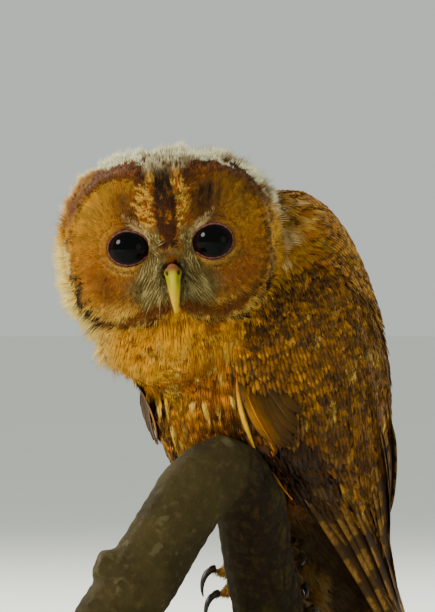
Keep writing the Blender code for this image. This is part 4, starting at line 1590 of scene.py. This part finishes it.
def head_coat(settings):
    """White down of the crown, mottled nape, and the loose fringe of cheeks and throat."""
    draw = np.random.default_rng(settings.seed + 20)
    down = spread_tuft("down", 6, 1.05, 1.0, 0.105, 14, 0.55, 0.8)
    soft = plumage_finish("Head down", roughness=0.85)
    for name, where, spacing, longer, lean in (
        ("coat_crown", on_crown, 1.5, 1.15, (0.35, 1.15)),
        ("coat_nape", on_nape, 1.9, 1.3, (0.2, 0.6)),
        ("coat_cheeks", on_cheeks, 1.5, 1.35, (0.2, 0.6)),
    ):
        bed = Bed(where, spacing, settings.seed + 21, draw, head_map)
        clump = 0.72 + 0.62 * ramp(cloud(bed.at, 7.5 * MM, 12), 0.36, 0.64)
        fringe = ramp(bed.x, -26, -42) * ramp(bed.z, 18, 6)
        front = ramp(bed.y, 0, -20) * ramp(bed.z, 30, 38)
        long = settings.down_length * longer * bed.some(0.65, 1.15)
        long = long * clump * (1 + 0.25 * fringe - 0.1 * front)
        lie = head_lie(bed.at) + head_way(-0.9 * fringe, 0, -0.2 * fringe)
        bed.stand(lie, long, 2.3, 2.2, bed.some(*lean) + 0.45 * fringe)
        bed.colour(0.12)
        bed.plant(name, down, soft, "plumage", settings.ruffle * 2.2, 8)


def body_coat(settings):
    """Streaked breast, barred back, and the fluff of belly and legs."""
    draw = np.random.default_rng(settings.seed + 40)
    long = settings.feather_length

    def bed_on(where, spacing, seed, unwrap=body_map):
        bed = Bed(where, spacing, settings.seed + seed, draw, unwrap)
        bed.under = ramp(bed.normals[:, 2], -0.2, -0.7)
        return bed

    fan = fan_feather("fan", 7, 15, 0.16, 0.22)
    breast = plumage_finish("Breast feathers", bar_count=3.0, streak_width=0.3)
    bed = bed_on(on_breast, 2.9, 41)
    size = long * bed.some(0.7, 1.1) * (1 - 0.4 * bed.under)
    bed.lay(body_lie(bed.at), size, 3.9, 2.0, 0.55, bed.some(0.7, 1.35) * (1 - 0.5 * bed.under))
    clump = cloud(bed.at, 14 * MM, 21)
    streak = bed.chance(0.10 + 0.28 * ramp(clump, 0.4, 0.6)) * ramp(bed.height, 0.060, 0.010)
    streak *= 1 - 0.8 * ramp(bed.normals[:, 2], -0.1, -0.5)
    bed.flesh = np.where(bed.on(WING_L, WING_R), NECK, bed.kinds)
    bed.colour(0.2, streak, 0.25 * bed.chance(0.25))
    share = 0.10 + 0.26 * ramp(clump, 0.55, 0.4)
    share = share * ramp(np.abs(bed.angle), 84, 60) * ramp(bed.height, -0.05, -0.03)
    pale = bed.chance(share) & (streak < 0.5)
    bed.roots["tint_tip"] = np.where(pale[:, None], CREAM, bed.roots["tint_tip"])
    bed.roots["size"][pale, 0] *= 0.65
    bed.plant("coat_breast", fan, breast, "plumage", settings.ruffle * 1.2, 9)

    full = fan_feather("long_fan", 5, 19, 0.20, 0.14, 0.03, 0.75)
    mantle = plumage_finish("Back feathers", bar_count=3.2, streak_width=0.22)
    bed = bed_on(on_mantle, 3.2, 42)
    ridge = ramp(bed.normals[:, 2], 0.50, 0.85)
    size = long * bed.some(0.75, 1.05) * (1 - 0.25 * ridge)
    lift = bed.some(0.7, 1.15) * (1 - 0.4 * behind_head(bed.at, bed.height)) * (1 - 0.5 * ridge)
    bed.lay(body_lie(bed.at), size, 4.6, 2.0, 0.55, lift)
    bed.flesh = np.where(bed.on(WING_L, WING_R), TRUNK, bed.kinds)
    bed.colour(0.22, 0.5 * bed.chance(0.45), 0.6)
    bed.plant("coat_mantle", full, mantle, "plumage", settings.ruffle * 0.9, 10)

    down = spread_tuft("belly_down", 5, 1.0, 0.7, 0.15, 16, 0.7)
    belly = plumage_finish("Belly down", bar_count=1.5, roughness=0.85)
    bed = bed_on(on_belly, 2.2, 43)
    size = 12 * MM * bed.some(0.7, 1.15)
    bed.stand(body_lie(bed.at), size, 2.6, 2.0, bed.some(0.12, 0.4))
    bed.colour(0.2, 0.0, 0.35 * bed.chance(0.4))
    bed.plant("coat_belly", down, belly, "plumage", settings.ruffle * 1.4, 11)

    tuft = spread_tuft("toe_fluff", 4, 0.9, 0.6, 0.16, 17, 0.7)
    bed = bed_on(on_feet, 0.85, 44, foot_map)
    wander = turned(BIRD_MATRIX, np.tile((0.0, -0.6, -0.8), (len(bed.at), 1)))
    size = 4.0 * MM * bed.some(0.7, 1.2)
    bed.stand(wander, size, 1.0, 0.8, bed.some(0.15, 0.4))
    bed.colour(0.2)
    bed.plant("coat_toes", tuft, belly, "toe", 0.6 * MM, 12)


def wing_spot(side, height, share):
    """A point on the outer face of a folded wing and its outward normal; share runs front to rear."""
    heights, fronts, rears = zip(*WING_EDGES)
    front, rear = np.interp(height, heights, fronts), np.interp(height, heights, rears)
    if side < 0:
        droop = WING_DROOP * min(1.0, max(0.0, (0.056 - height) / 0.05)) * min(1.0, (height + 0.184) / 0.10)
        front -= droop
    angle = math.radians(front + (rear - front) * share)
    out = Vector((side * math.sin(angle), -math.cos(angle), 0))
    core = Vector((0, float(axis_back(height)), height))
    start = BIRD_MATRIX @ (core + out * 0.2)
    aim = BIRD_MATRIX.to_3x3() @ -out
    hit, normal, _, _ = MADE["wings"][side].ray_cast(start, aim)
    if share < 0 or hit is None:
        hit, normal, _, _ = MADE["skin"]["tree"].ray_cast(start, aim)
        if hit is not None:
            hit = hit + normal * 3.4 * MM
    if hit is None:
        raise RuntimeError(f"no wing at height {height:.3f}")
    return np.array(hit), np.array(normal)


def hung(spans, side, width, thick, lifts, root_depth=3.6 * MM):
    """Flight feathers through three points each on the outer face of the wing."""
    rows, ups = [], []
    for (h0, s0, h1, s1), lift in zip(spans, lifts):
        row = []
        for t in (0.0, 0.5, 1.0):
            height, share = h0 + (h1 - h0) * t, s0 + (s1 - s0) * t
            spot, normal = wing_spot(side, height, share)
            row.append(spot + normal * (lift * (0.4 + 0.6 * t) - root_depth * (1 - t) ** 2))
            if t == 0.5:
                back = wing_spot(side, height, min(share + 0.05, 0.99))[0] - spot
                ups.append(normal + 0.24 * back / max(np.linalg.norm(back), 1e-6))
        rows.append(row)
    return through(*np.array(rows).transpose(1, 0, 2), np.array(ups), width, thick)


def columns(count):
    """Side by side strips of the map, one for each long feather."""
    return vec((np.arange(count) + 0.5) / count, 0.015, 0)


def long_feathers(name, tuft, spans, side, finish, tints, bars, widths, lifts, streak=1.0, seed=14):
    """Large feathers hung on the wing one by one, each with its own strip of the map."""
    count = len(spans)
    roots = hung(spans, side, np.asarray(widths) * MM, 7 * MM, np.asarray(lifts) * MM)
    roots["tint_root"], roots["tint_tip"] = (np.array(c) for c in zip(*tints))
    roots["mark"] = vec(streak, bars, np.random.default_rng(seed).random(count) * 0.3)
    plant_strips(name, tuft, roots, finish, seed)


def plant_strips(name, tuft, roots, finish, seed):
    count = len(roots["at"])
    roots["root_uv"] = columns(count)
    plant(name, tuft, roots, finish, 0.4 * MM, seed, (0.9 / count, 0.96, 0.0))


ORANGE, RUST = tone(150, 94, 42), tone(120, 66, 28)
# the left wing's pale front edge also carries painted sunlight; the right wing's is painted duller, as shade
EDGE_FEATHERS = {  # height and share of both ends, root and tip colour, width and lift in mm
    1: (
        ((0.001, -0.040, -0.044, -0.044), (ORANGE, SUNLIT_LEAD), 1.8, 3.8),
        ((-0.022, -0.047, -0.064, -0.022), (SUNLIT_LEAD, tone(196, 130, 56)), 1.6, 3.4),
        ((-0.002, -0.029, -0.040, 0.014), (RUST, tone(190, 134, 66)), 0.6, 3.8),
    ),
    -1: (((-0.004, 0.04, -0.060, 0.02), (ORANGE, tone(120, 84, 46)), 2.2, 0.7),),
}
PALE_FEATHERS = {  # height and share of both ends, then the width in mm
    1: (
        ((-0.011, -0.215, -0.033, -0.225), 1.9),
        ((-0.014, -0.160, -0.029, -0.165), 1.6),
        ((-0.009, -0.085, -0.027, -0.090), 1.6),
    ),
    -1: (
        ((-0.010, -0.045, -0.035, -0.030), 1.9),
        ((-0.012, -0.118, -0.030, -0.105), 1.4),
        ((-0.026, -0.085, -0.050, -0.125), 2.2),
        ((-0.034, -0.055, -0.052, -0.070), 1.5),
    ),
}


def wing_coat(settings):
    """Coverts, flight feathers and the pale leading edge of each folded wing."""
    draw = np.random.default_rng(settings.seed + 60)
    covert = fan_feather("covert", 5, 20, 0.23, 0.12, 0.03, 0.85, 0.8)
    coverts = plumage_finish("Wing coverts", bar_count=2.2, streak_width=0.2, roughness=0.7)
    flight = plumage_finish("Flight feathers", 7.0, 0.50, 0.6, 60, 0.0)
    MADE["wings"] = {}
    for side, kind, name in ((1, WING_L, "left"), (-1, WING_R, "right")):
        MADE["wings"][side] = search_tree(NODES["wing_" + name].data)
        bed = Bed(wing_outside(kind), 3.6, settings.seed + 61, draw, body_map)
        bed.keep(bed.height > -0.088 + 0.0006 * np.minimum(np.abs(np.abs(bed.angle) - 120), 34))
        grow = ramp(bed.height, 0.05, -0.06)
        size = (14 + 12 * grow) * MM * bed.some(0.85, 1.1)
        front = np.interp(bed.height, *list(zip(*WING_EDGES))[:2])
        over = ramp(bed.height, -0.008, 0.0) * ramp(bed.height, 0.026, 0.012)
        over = over * ramp(np.abs(bed.angle) - front, 40, 28)
        bed.lay(body_lie(bed.at), size, 4.6, 2.4, 0.7, bed.some(0.9, 1.4) + 1.1 * over)
        bed.roots["size"][:, 0] *= 1 + 0.45 * grow
        bed.colour(0.25, 0.5 * bed.chance(0.5), 0.55)
        bed.plant("coat_wing_" + name, covert, coverts, "plumage", 0.9 * MM, 13)

        # primaries, the leading one first, then secondaries
        spans = []
        for k in range(10):
            spans.append((-0.035, 0.02 + 0.065 * k, -0.176 + 0.004 * k, min(0.95, 0.04 + 0.092 * k)))
        for k in range(7):
            share = 0.55 + 0.06 * k
            spans.append((-0.020, share, -0.118 + 0.007 * k, min(0.97, share + 0.06)))
        count = len(spans)
        tints = [(FLIGHT_PALE * 0.8, FLIGHT_PALE)] * count
        lifts = 0.2 + 0.085 * np.arange(count)
        quilled = quill("quill_" + name, arch=0.09, lead=0.5, mirror=side < 0)
        long_feathers("flight_" + name, quilled, spans, side, flight, tints, 0.8, [8.0] * count, lifts)

        # the pale edge of the wing's front, with painted sunlight on the left wing, and the broad feathers
        # that close over it
        spans, tints, widths, lifts = zip(*EDGE_FEATHERS[side])
        plain = quill("lead_" + name, 12, 2, lead=0.8, mirror=side < 0, spindle=True)
        long_feathers("wing_edge_" + name, plain, spans, side, flight, tints, 0.1, widths, lifts, 0.0, 15)
        spans, tints = [], []
        for k in range(8):
            low = -0.0405 + 0.018 * ((k - 2) / 5) ** 2
            spans.append((-0.001 - 0.001 * k, -0.026 + 0.018 * k, low, 0.004 + 0.026 * k))
            # painted light: the lobe's front quills golden as if lit, the rest dark; the far wing's lobe
            # painted darker as shade
            painted_light = max(0.0, 1 - k / 2.6)
            shade = tone(66, 46, 18) * (1 - painted_light) + tone(138, 96, 32) * painted_light
            tints.append((tone(44, 31, 14), shade * (1.0 if side > 0 else 0.8)))
        broad = quill("lobe_" + name, 10, 4, 0.05, 0.10, 0.7, mirror=side < 0)
        lifts = 2.9 + 0.12 * np.arange(8)
        long_feathers("wing_lobe_" + name, broad, spans, side, coverts, tints, 0.3, [3.4] * 8, lifts, 0.0, 16)

        # loose pale feathers of the flank
        spans, widths = zip(*PALE_FEATHERS[side])
        tints, lifts = [(BUFF, CREAM)] * len(spans), [0.9] * len(spans)
        loose = fan_feather("loose_" + name, 5, 23, 0.24, 0.2, 0.04, 0.6, 0.7)
        long_feathers("coat_flank_" + name, loose, spans, side, coverts, tints, 0.1, widths, lifts, 0.5, 17)


def tail_map(points):
    return spread_map(np.arctan2(into(BIRD_MATRIX, points)[:, 0], 0.01), along_tail(points))


def tail_coat(settings):
    """Twelve tail feathers spread over the tail, and the coverts over their roots."""
    draw = np.random.default_rng(settings.seed + 80)
    feather = quill("tail_quill", 14, 4, 0.05, 0.12, 1.0, True)
    finish = plumage_finish("Tail feathers", bar_count=8.0, streak_width=0.06, roughness=0.62, barb_count=60)
    tree = search_tree(NODES["tail"].data)
    turn, count, rows = BIRD_MATRIX.to_3x3(), 12, []
    for k in range(count):
        share = (k + 0.5) / count * 2 - 1
        row = []
        for t in (0.12, 0.55, 0.985 - 0.05 * share * share):
            reach = (0.013 + 0.017 * min(1.0, t * 1.4)) * share * 0.92
            spot = TAIL_ROOT + TAIL_ALONG * TAIL_LENGTH * t + Vector((reach, 0, 0))
            hit, normal, _, _ = tree.ray_cast(BIRD_MATRIX @ (spot + TAIL_UP * 0.05), turn @ -TAIL_UP)
            if hit is None:
                raise RuntimeError("a tail feather misses the tail")
            lift = (0.2 + 0.22 * (6 - abs(k - 5.5))) * MM
            row.append(np.array(hit) + np.array(normal) * lift * 0.6)
        rows.append(row)
    ups = np.tile(np.array(turn @ TAIL_UP), (count, 1))
    roots = through(*np.array(rows).transpose(1, 0, 2), ups, 7.0 * MM, 9 * MM)
    roots["tint_root"], roots["tint_tip"] = all_of(TAIL_BROWN, rows), all_of(TAIL_BROWN * 1.1, rows)
    roots["mark"] = vec(np.zeros(count), 0.9, 0.1)
    plant_strips("tail_feathers", feather, roots, finish, 15)

    soft = plumage_finish("Tail coverts", bar_count=2.5)
    bed = Bed(near_tail, 4.2, settings.seed + 81, draw, tail_map)
    lie = turned(BIRD_MATRIX, np.tile(np.array(TAIL_ALONG), (len(bed.at), 1)))
    bed.lay(lie, 20 * MM * bed.some(0.8, 1.1), 4.4, 2.0, 0.6, 1.1)
    bed.colour(0.2, 0.0, 0.8)
    bed.plant("coat_tail", fan_feather("tail_fan", 7, 18), soft, "plumage", 0.6 * MM, 16)


# ---------------------------------------------------------------- eyes, bill and claws


def eye_finish():
    f = Finish("Wet eye", roughness=0.03, specular_ior_level=0.07)
    ring = f.attribute("pupil")
    iris = f.blend(tone(10, 6, 4), tone(26, 15, 8), f.noise(900.0))
    colour = f.blend(tone(2, 2, 3), iris, f.between(ring, 0.50, 0.60))
    return f.done(f.blend(colour, tone(8, 5, 4), f.between(ring, 0.68, 0.78)))


def make_eyes(settings):
    """Two wet dark globes with a raised cornea."""
    finish = eye_finish()
    for side, name in ((1, "eye_left"), (-1, "eye_right")):
        form = bmesh.new()
        bmesh.ops.create_uvsphere(form, u_segments=64, v_segments=40, radius=1.0)
        turn = Matrix.Rotation(math.pi / 2, 4, "X")
        shares = []
        for v in form.verts:
            reach = math.hypot(v.co.x, v.co.y)
            front = v.co.z > 0
            bulge = 1 + (0.035 * max(0.0, 1 - (reach / 0.62) ** 2) if front else 0)
            shares.append(reach if front else 1.0)
            v.co *= EYE_RADIUS * bulge
        place = Matrix.Translation((side * EYE_OUT * MM, -EYE_SET, 0))
        bmesh.ops.transform(form, matrix=HEAD_MATRIX @ place @ turn, verts=form.verts)
        mesh = mesh_of(form, name + "_globe")
        store_values(mesh, "pupil", shares)
        mesh.materials.append(finish)
        finish_piece(linked(name + "_globe", mesh), (name,))


def bill_finish():
    f = Finish("Bill horn", roughness=0.45, specular_ior_level=0.18)
    down, fine = f.attribute("down"), f.noise(600.0)
    colour = f.blend(tone(128, 88, 66), tone(136, 132, 62), f.between(down, 0.12, 0.28))
    colour = f.blend(colour, tone(182, 150, 6), f.between(down, 0.36, 0.72))
    # a painted highlight along the ridge of the upper bill
    ridge = f.blend(colour, tone(192, 180, 64), f.between(f.attribute("side"), 0.5, 0.1))
    lit = f.times(f.between(down, 0.12, 0.30), f.between(down, 0.7, 0.4))
    colour = f.blend(colour, ridge, f.times(lit, 0.6))
    # painted shade in the nostril slits
    colour = f.blend(colour, tone(36, 22, 14), f.attribute("hollow"))
    return f.done(f.lit(colour, fine, 0.3, 0.85), fine, 0.0001, 0.4)


def make_bill(settings):
    """The hooked bill with its cere and two slit nostrils."""
    bill = remeshed("bill_horn", merged_copy("bill", 0.25 * MM), 0.42 * MM)
    mesh = bill.data
    set_points(mesh, eased(mesh_arrays(mesh)[0], edge_pairs(mesh), 5, 0.5))
    local = into(HEAD_MATRIX, mesh_arrays(mesh)[0])
    z = local[:, 2] / MM
    local[:, 0] *= 1 - 0.10 * ramp(z, -11, -17) - 0.30 * ramp(z, -14.5, -8)
    local[:, 1] += 2.6 * MM * ramp(z, -15.5, -8)
    local[:, 2] -= 0.36 * np.maximum(z + 16, 0) * MM
    set_points(mesh, out_of(HEAD_MATRIX, local))
    points, normals = mesh_arrays(mesh)
    x, y, z = in_head(points)
    # the nostril slits, dented in and given painted shade
    hollow = np.zeros(len(points))
    for side in (-1, 1):
        far = np.hypot((x - side * 3.2) / 0.9, (z + 14.4) / 1.5)
        hollow = np.maximum(hollow, ramp(far, 1.25, 0.5) * (y < -38))
    cere = ramp(z, -17, -12) * 0.15 - 0.35 * ramp(np.abs(x), 1.0, 3.5) * ramp(z, -12, -20)
    set_points(mesh, points + normals * ((cere - 0.9 * hollow) * MM)[:, None])
    store_values(mesh, "down", np.clip((-8.5 - z) / 26.5, 0, 1))
    store_values(mesh, "side", np.clip(np.abs(x) / 4.5, 0, 1))
    store_values(mesh, "hollow", hollow * 0.95)
    mesh.materials.append(bill_finish())
    finish_piece(bill, ("bill",))


def make_claws(settings):
    """Eight curved claws, smoothed over the CAD's own."""
    f = Finish("Claw horn", roughness=0.36, specular_ior_level=0.35)
    fine = f.noise(350.0)
    colour = f.blend(tone(20, 15, 12), tone(72, 58, 42), f.between(fine, 0.45, 0.8))
    finish = f.done(colour, fine, 0.00008, 0.4)
    for name in CLAWS:
        claw = linked(name + "_horn", merged_copy(name, 0.12 * MM))
        smooth = claw.modifiers.new("Smooth", "SUBSURF")
        smooth.levels = smooth.render_levels = 2
        plain_mesh(claw)
        claw.data.materials.append(finish)
        finish_piece(claw, (name,))


# ---------------------------------------------------------------- limb and stand


def bark_finish():
    f = Finish("Bark", roughness=0.9, specular_ior_level=0.15)
    broad, fine, spots = f.noise(34.0, 4.0), f.noise(260.0, 5.0), f.noise(95.0, 2.0)
    cell = {"Vector": f.place(), "Scale": 150.0}
    cracks = f.node("ShaderNodeTexVoronoi", cell, feature="DISTANCE_TO_EDGE")[0]
    low, rough = f.attribute("low"), f.attribute("rough")
    colour = f.blend(tone(56, 49, 30), tone(38, 32, 19), f.between(broad, 0.30, 0.70))
    colour = f.blend(colour, tone(84, 74, 50), f.times(f.between(fine, 0.48, 0.76), 0.4))
    # the far leg's rough bark: darker, partly its own mossy bark, partly painted shade
    dark = f.blend(tone(28, 21, 13), tone(56, 43, 23), f.between(fine, 0.42, 0.72))
    moss = f.blend(dark, tone(60, 58, 26), f.times(f.between(broad, 0.52, 0.72), 0.5))
    colour = f.blend(colour, moss, rough)
    lichen = f.times(f.between(spots, 0.64, 0.70), f.maths("SUBTRACT", 1.0, rough))
    colour = f.blend(colour, tone(140, 138, 104), f.times(lichen, 0.10))
    # painted shade in the bark's cracks and sunken places
    colour = f.blend(colour, tone(24, 18, 10), f.times(low, 0.8, clamp=True))
    wood = f.blend(tone(178, 142, 92), tone(132, 96, 56), f.between(fine, 0.4, 0.6))
    plates = f.times(f.between(cracks, 0.0, 0.12), rough)
    relief = f.plus(f.times(plates, 0.5), fine)
    return f.done(f.blend(colour, wood, f.attribute("cut")), relief, 0.0012, 0.7)


def make_limb(settings):
    """The limb: smooth ridged bark on its near leg, rough plates and moss on the far one."""
    limb = remeshed("limb_bark", merged_copy("perch_limb"), 1.25 * MM)
    mesh = limb.data
    points, _ = mesh_arrays(mesh)
    low_corner, high_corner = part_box("perch_limb")
    apex_x = low_corner.x + 0.66 * (high_corner.x - low_corner.x)
    cut = (points[:, 2] < low_corner.z + 1.2 * MM).astype(float)
    points = eased(points, edge_pairs(mesh), 6, 0.5)
    # a little slimmer where it stands beside the wing
    beside = ramp(points[:, 2], 0.158, 0.172) * ramp(points[:, 2], 0.198, 0.188)
    points[:, 0] -= 2.6 * MM * beside * ramp(points[:, 0], apex_x, apex_x + 0.014)
    set_points(mesh, points)
    points, normals = mesh_arrays(mesh)
    rough = ramp(points[:, 0] - 0.009 * ramp(points[:, 2], 0.150, 0.170), apex_x - 0.006, apex_x + 0.012)
    fall = np.zeros(len(points))
    for i, p in enumerate(points):
        spot = Vector(p)
        cells = noise.voronoi(Vector((spot.x * 130, spot.y * 130, spot.z * 70)))[0]
        crack = max(0.0, 1 - (cells[1] - cells[0]) / 0.28)
        lumps = noise.fractal(spot * 90, 0.9, 2.1, 4)
        along = spot.z * 0.8 + spot.x * 0.55
        rings = math.sin(along * 900 + 3.5 * noise.noise(spot * 60))
        plain = 0.22 * lumps + 0.10 * rings - 0.12
        fall[i] = (1 - rough[i]) * plain + rough[i] * (0.35 * lumps - 0.75 * crack - 0.1)
    fall = np.clip(fall, -1.0, 0.22)
    set_points(mesh, points + normals * (fall * settings.bark_relief * (1 - cut * 0.85))[:, None])
    store_values(mesh, "rough", rough)
    # how far the relief sinks, for the painted shade in the cracks
    store_values(mesh, "low", ramp(fall, -0.2, -0.8))
    store_values(mesh, "cut", cut)
    mesh.materials.append(bark_finish())
    finish_piece(limb, ("perch_limb",))


def lathe(name, profile, centre, steps=96):
    """A closed turned piece from (radius, height) pairs, first and last on the axis."""
    form = bmesh.new()
    rings = []
    for radius, height in profile:
        turns = [math.tau * k / steps for k in range(steps if radius else 1)]
        spots = [(centre.x + radius * math.cos(a), centre.y + radius * math.sin(a), height) for a in turns]
        rings.append([form.verts.new(spot) for spot in spots])
    for low, high in zip(rings, rings[1:]):
        bridge(form, low, high)
    return linked(name, closed_mesh(form, name))


def wood_finish(dark):
    f = Finish("Waxed wood", roughness=0.38, coat_weight=0.35, coat_roughness=0.2)
    stretch = f.node("ShaderNodeMapping", {"Vector": f.place(), "Scale": (26.0, 3.0, 26.0)})[0]
    grain = f.noise(3.0, 6.0, stretch)
    return f.done(f.blend(dark * 0.55, dark * 1.9, f.between(grain, 0.35, 0.68)), grain, 0.0002, 0.3)


def brass_finish():
    f = Finish("Aged brass", metallic=1.0, roughness=0.34)
    patina = f.noise(180.0, 4.0)
    colour = f.blend((0.42, 0.29, 0.11), (0.17, 0.11, 0.05), f.between(patina, 0.45, 0.75))
    return f.done(colour, patina, 0.0001, 0.3)


# The base's moulded edge and a rod's collar: distances in mm.
BASE_EDGE = ((3, 0), (1, 0.5), (0, 2), (0, 5), (1.2, 6.2), (4, 7), (6.5, 9.2), (8.5, 12))  # inward, up
# times the rod's radius, above the base
ROD_COLLAR = ((1, 0.1), (2.1, 0.1), (2.1, 1.6), (1.5, 2.6), (1, 3.2))


def make_stand(settings):
    """A turned wooden base with a moulded edge, and two brass rods with collars."""
    low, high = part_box("stand_base")
    radius, top = (high.x - low.x) / 2, high.z
    edge = [(radius - inward * MM, low.z + up * MM) for inward, up in BASE_EDGE]
    profile = [(0, low.z), *edge, (radius - 10 * MM, top - 0.8 * MM), (radius - 12 * MM, top), (0, top)]
    base = lathe("base_wood", profile, middle("stand_base"))
    bevel = base.modifiers.new("Soften", "BEVEL")
    bevel.width, bevel.segments, bevel.limit_method = 0.3 * MM, 2, "ANGLE"
    plain_mesh(base)
    base.data.materials.append(wood_finish(np.array(settings.base_colour)))
    finish_piece(base, ("stand_base",))
    brass = brass_finish()
    for name in ("left", "right"):
        low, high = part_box("stand_rod_" + name)
        thick = (high.x - low.x) / 2
        collar = [(thick * share, top + up * MM) for share, up in ROD_COLLAR]
        profile = [(0, low.z), (thick, low.z), *collar, (thick, high.z), (0, high.z)]
        rod = lathe("rod_brass_" + name, profile, middle("stand_rod_" + name), 40)
        rod.data.materials.append(brass)
        finish_piece(rod, ("stand_rod_" + name,), smooth=False)
        walls = [len(p.vertices) == 4 and abs(p.normal.z) < 0.9 for p in rod.data.polygons]
        rod.data.polygons.foreach_set("use_smooth", walls)


# ---------------------------------------------------------------- stage


AIM = Vector((-0.01, -0.03, 0.25))
LAMPS = (  # name, place, power, size and colour
    ("key", (-2.0, -1.5, 1.5), 84, 0.9, (1.0, 0.95, 0.85)),
    ("fill", (1.9, -1.6, 0.5), 5, 1.2, (0.96, 0.98, 0.94)),
    ("rim", (-1.1, 1.5, 1.5), 60, 0.8, (1.0, 0.98, 0.86)),
    ("back", (1.3, 1.7, 1.1), 26, 1.0, (0.95, 1.0, 0.92)),
)
FLOOR_REACH = 40.0
WORLD_TINT, WORLD_POWER = (0.90, 0.95, 0.88, 1), 0.66
VIEW_DISTANCE, VIEW_HALF_HEIGHT, SENSOR = 2.6, 0.157, 36


def make_stage(settings):
    """A plain pale floor, soft lights and the camera."""
    scene = bpy.context.scene
    floor_mesh = bpy.data.meshes.new("floor")
    corners = [(x * FLOOR_REACH, y * FLOOR_REACH, 0) for x, y in ((-1, -1), (1, -1), (1, 1), (-1, 1))]
    floor_mesh.from_pydata(corners, [], [(0, 1, 2, 3)])
    f = Finish("Pale floor", roughness=0.9)
    floor_mesh.materials.append(f.done(f.blend((0.86, 0.88, 0.84), (0.90, 0.91, 0.88), f.noise(2.0))))
    linked("floor", floor_mesh)
    world = bpy.data.worlds.new("Studio")
    world.use_nodes = True
    sky = world.node_tree.nodes["Background"].inputs
    sky["Color"].default_value, sky["Strength"].default_value = WORLD_TINT, WORLD_POWER
    scene.world = world
    for name, place, power, size, colour in LAMPS:
        light = bpy.data.lights.new(name, "AREA")
        light.energy, light.size, light.color, light.shape = power, size, colour, "DISK"
        lamp = linked(name, light)
        lamp.location = place
        lamp.rotation_euler = (AIM - Vector(place)).to_track_quat("-Z", "Y").to_euler()
    camera = bpy.data.cameras.new("camera")
    camera.sensor_fit, camera.sensor_height = "VERTICAL", SENSOR
    camera.lens = SENSOR * VIEW_DISTANCE / (2 * VIEW_HALF_HEIGHT)
    view = linked("camera", camera)
    view.location = (-0.009, -0.035 - VIEW_DISTANCE, 0.2548)
    view.rotation_euler = (math.pi / 2, 0, 0)
    scene.camera = view


# ---------------------------------------------------------------- add-on


def operator(name, label, words, make):
    """An operator that makes one group of pieces."""

    def execute(self, context):
        make(context.scene.owl_finish)
        return {"FINISHED"}

    title = "OWL_OT_" + name
    fields = {"bl_idname": "owl." + name, "bl_label": label, "__doc__": words, "execute": execute}
    return type(title, (bpy.types.Operator,), fields)


STEPS = (
    ("stage", "Stage", "Makes the floor, the lights and the camera", make_stage),
    ("skin", "Skin", "Fuses the flesh into one skin with its eyelids", make_skin),
    ("face", "Face", "Sets the feathers of the face", face_coat),
    ("head", "Head", "Sets the down of crown, nape, cheeks and throat", head_coat),
    ("body", "Body", "Sets the feathers of breast, back, belly, legs and toes", body_coat),
    ("wings", "Wings", "Sets coverts and flight feathers", wing_coat),
    ("tail", "Tail", "Sets the tail feathers and their coverts", tail_coat),
    ("eyes", "Eyes", "Makes the two eyes", make_eyes),
    ("bill", "Bill", "Makes the bill", make_bill),
    ("claws", "Claws", "Makes the claws", make_claws),
    ("limb", "Limb", "Makes the bark of the limb", make_limb),
    ("stand", "Stand", "Makes the base and its rods", make_stand),
)
OPERATORS = [operator(*step) for step in STEPS]


class OWL_PT_finish(bpy.types.Panel):
    """Lists the steps of the finish."""

    bl_label = "Owl finish"
    bl_space_type = "VIEW_3D"
    bl_region_type = "UI"
    bl_category = "Owl"

    def draw(self, context):
        for name in OwlFinishSettings.__annotations__:
            self.layout.prop(context.scene.owl_finish, name)
        for made in OPERATORS:
            self.layout.operator(made.bl_idname)


CLASSES = (OwlFinishSettings, *OPERATORS, OWL_PT_finish)


def register():
    for made in CLASSES:
        bpy.utils.register_class(made)
    bpy.types.Scene.owl_finish = PointerProperty(type=OwlFinishSettings)


def unregister():
    del bpy.types.Scene.owl_finish
    for made in reversed(CLASSES):
        bpy.utils.unregister_class(made)


TEMPLATES = (
    *("silk", "short_fan", "chin_fluff", "bristle", "down", "fan", "belly_down", "long_fan", "toe_fluff"),
    *(kind + side for kind in ("quill", "loose", "lead", "lobe") for side in ("_left", "_right")),
    *("covert", "tail_quill", "tail_fan"),
)


def remove_templates():
    """The single tufts that the coats were made from aren't part of the owl."""
    for name in TEMPLATES:
        bpy.data.objects.remove(bpy.data.objects[name])


def main():
    register()
    for step in STEPS:
        getattr(bpy.ops.owl, step[0])()
    remove_templates()
    bpy.context.view_layer.update()


if __name__ == "__main__":
    main()
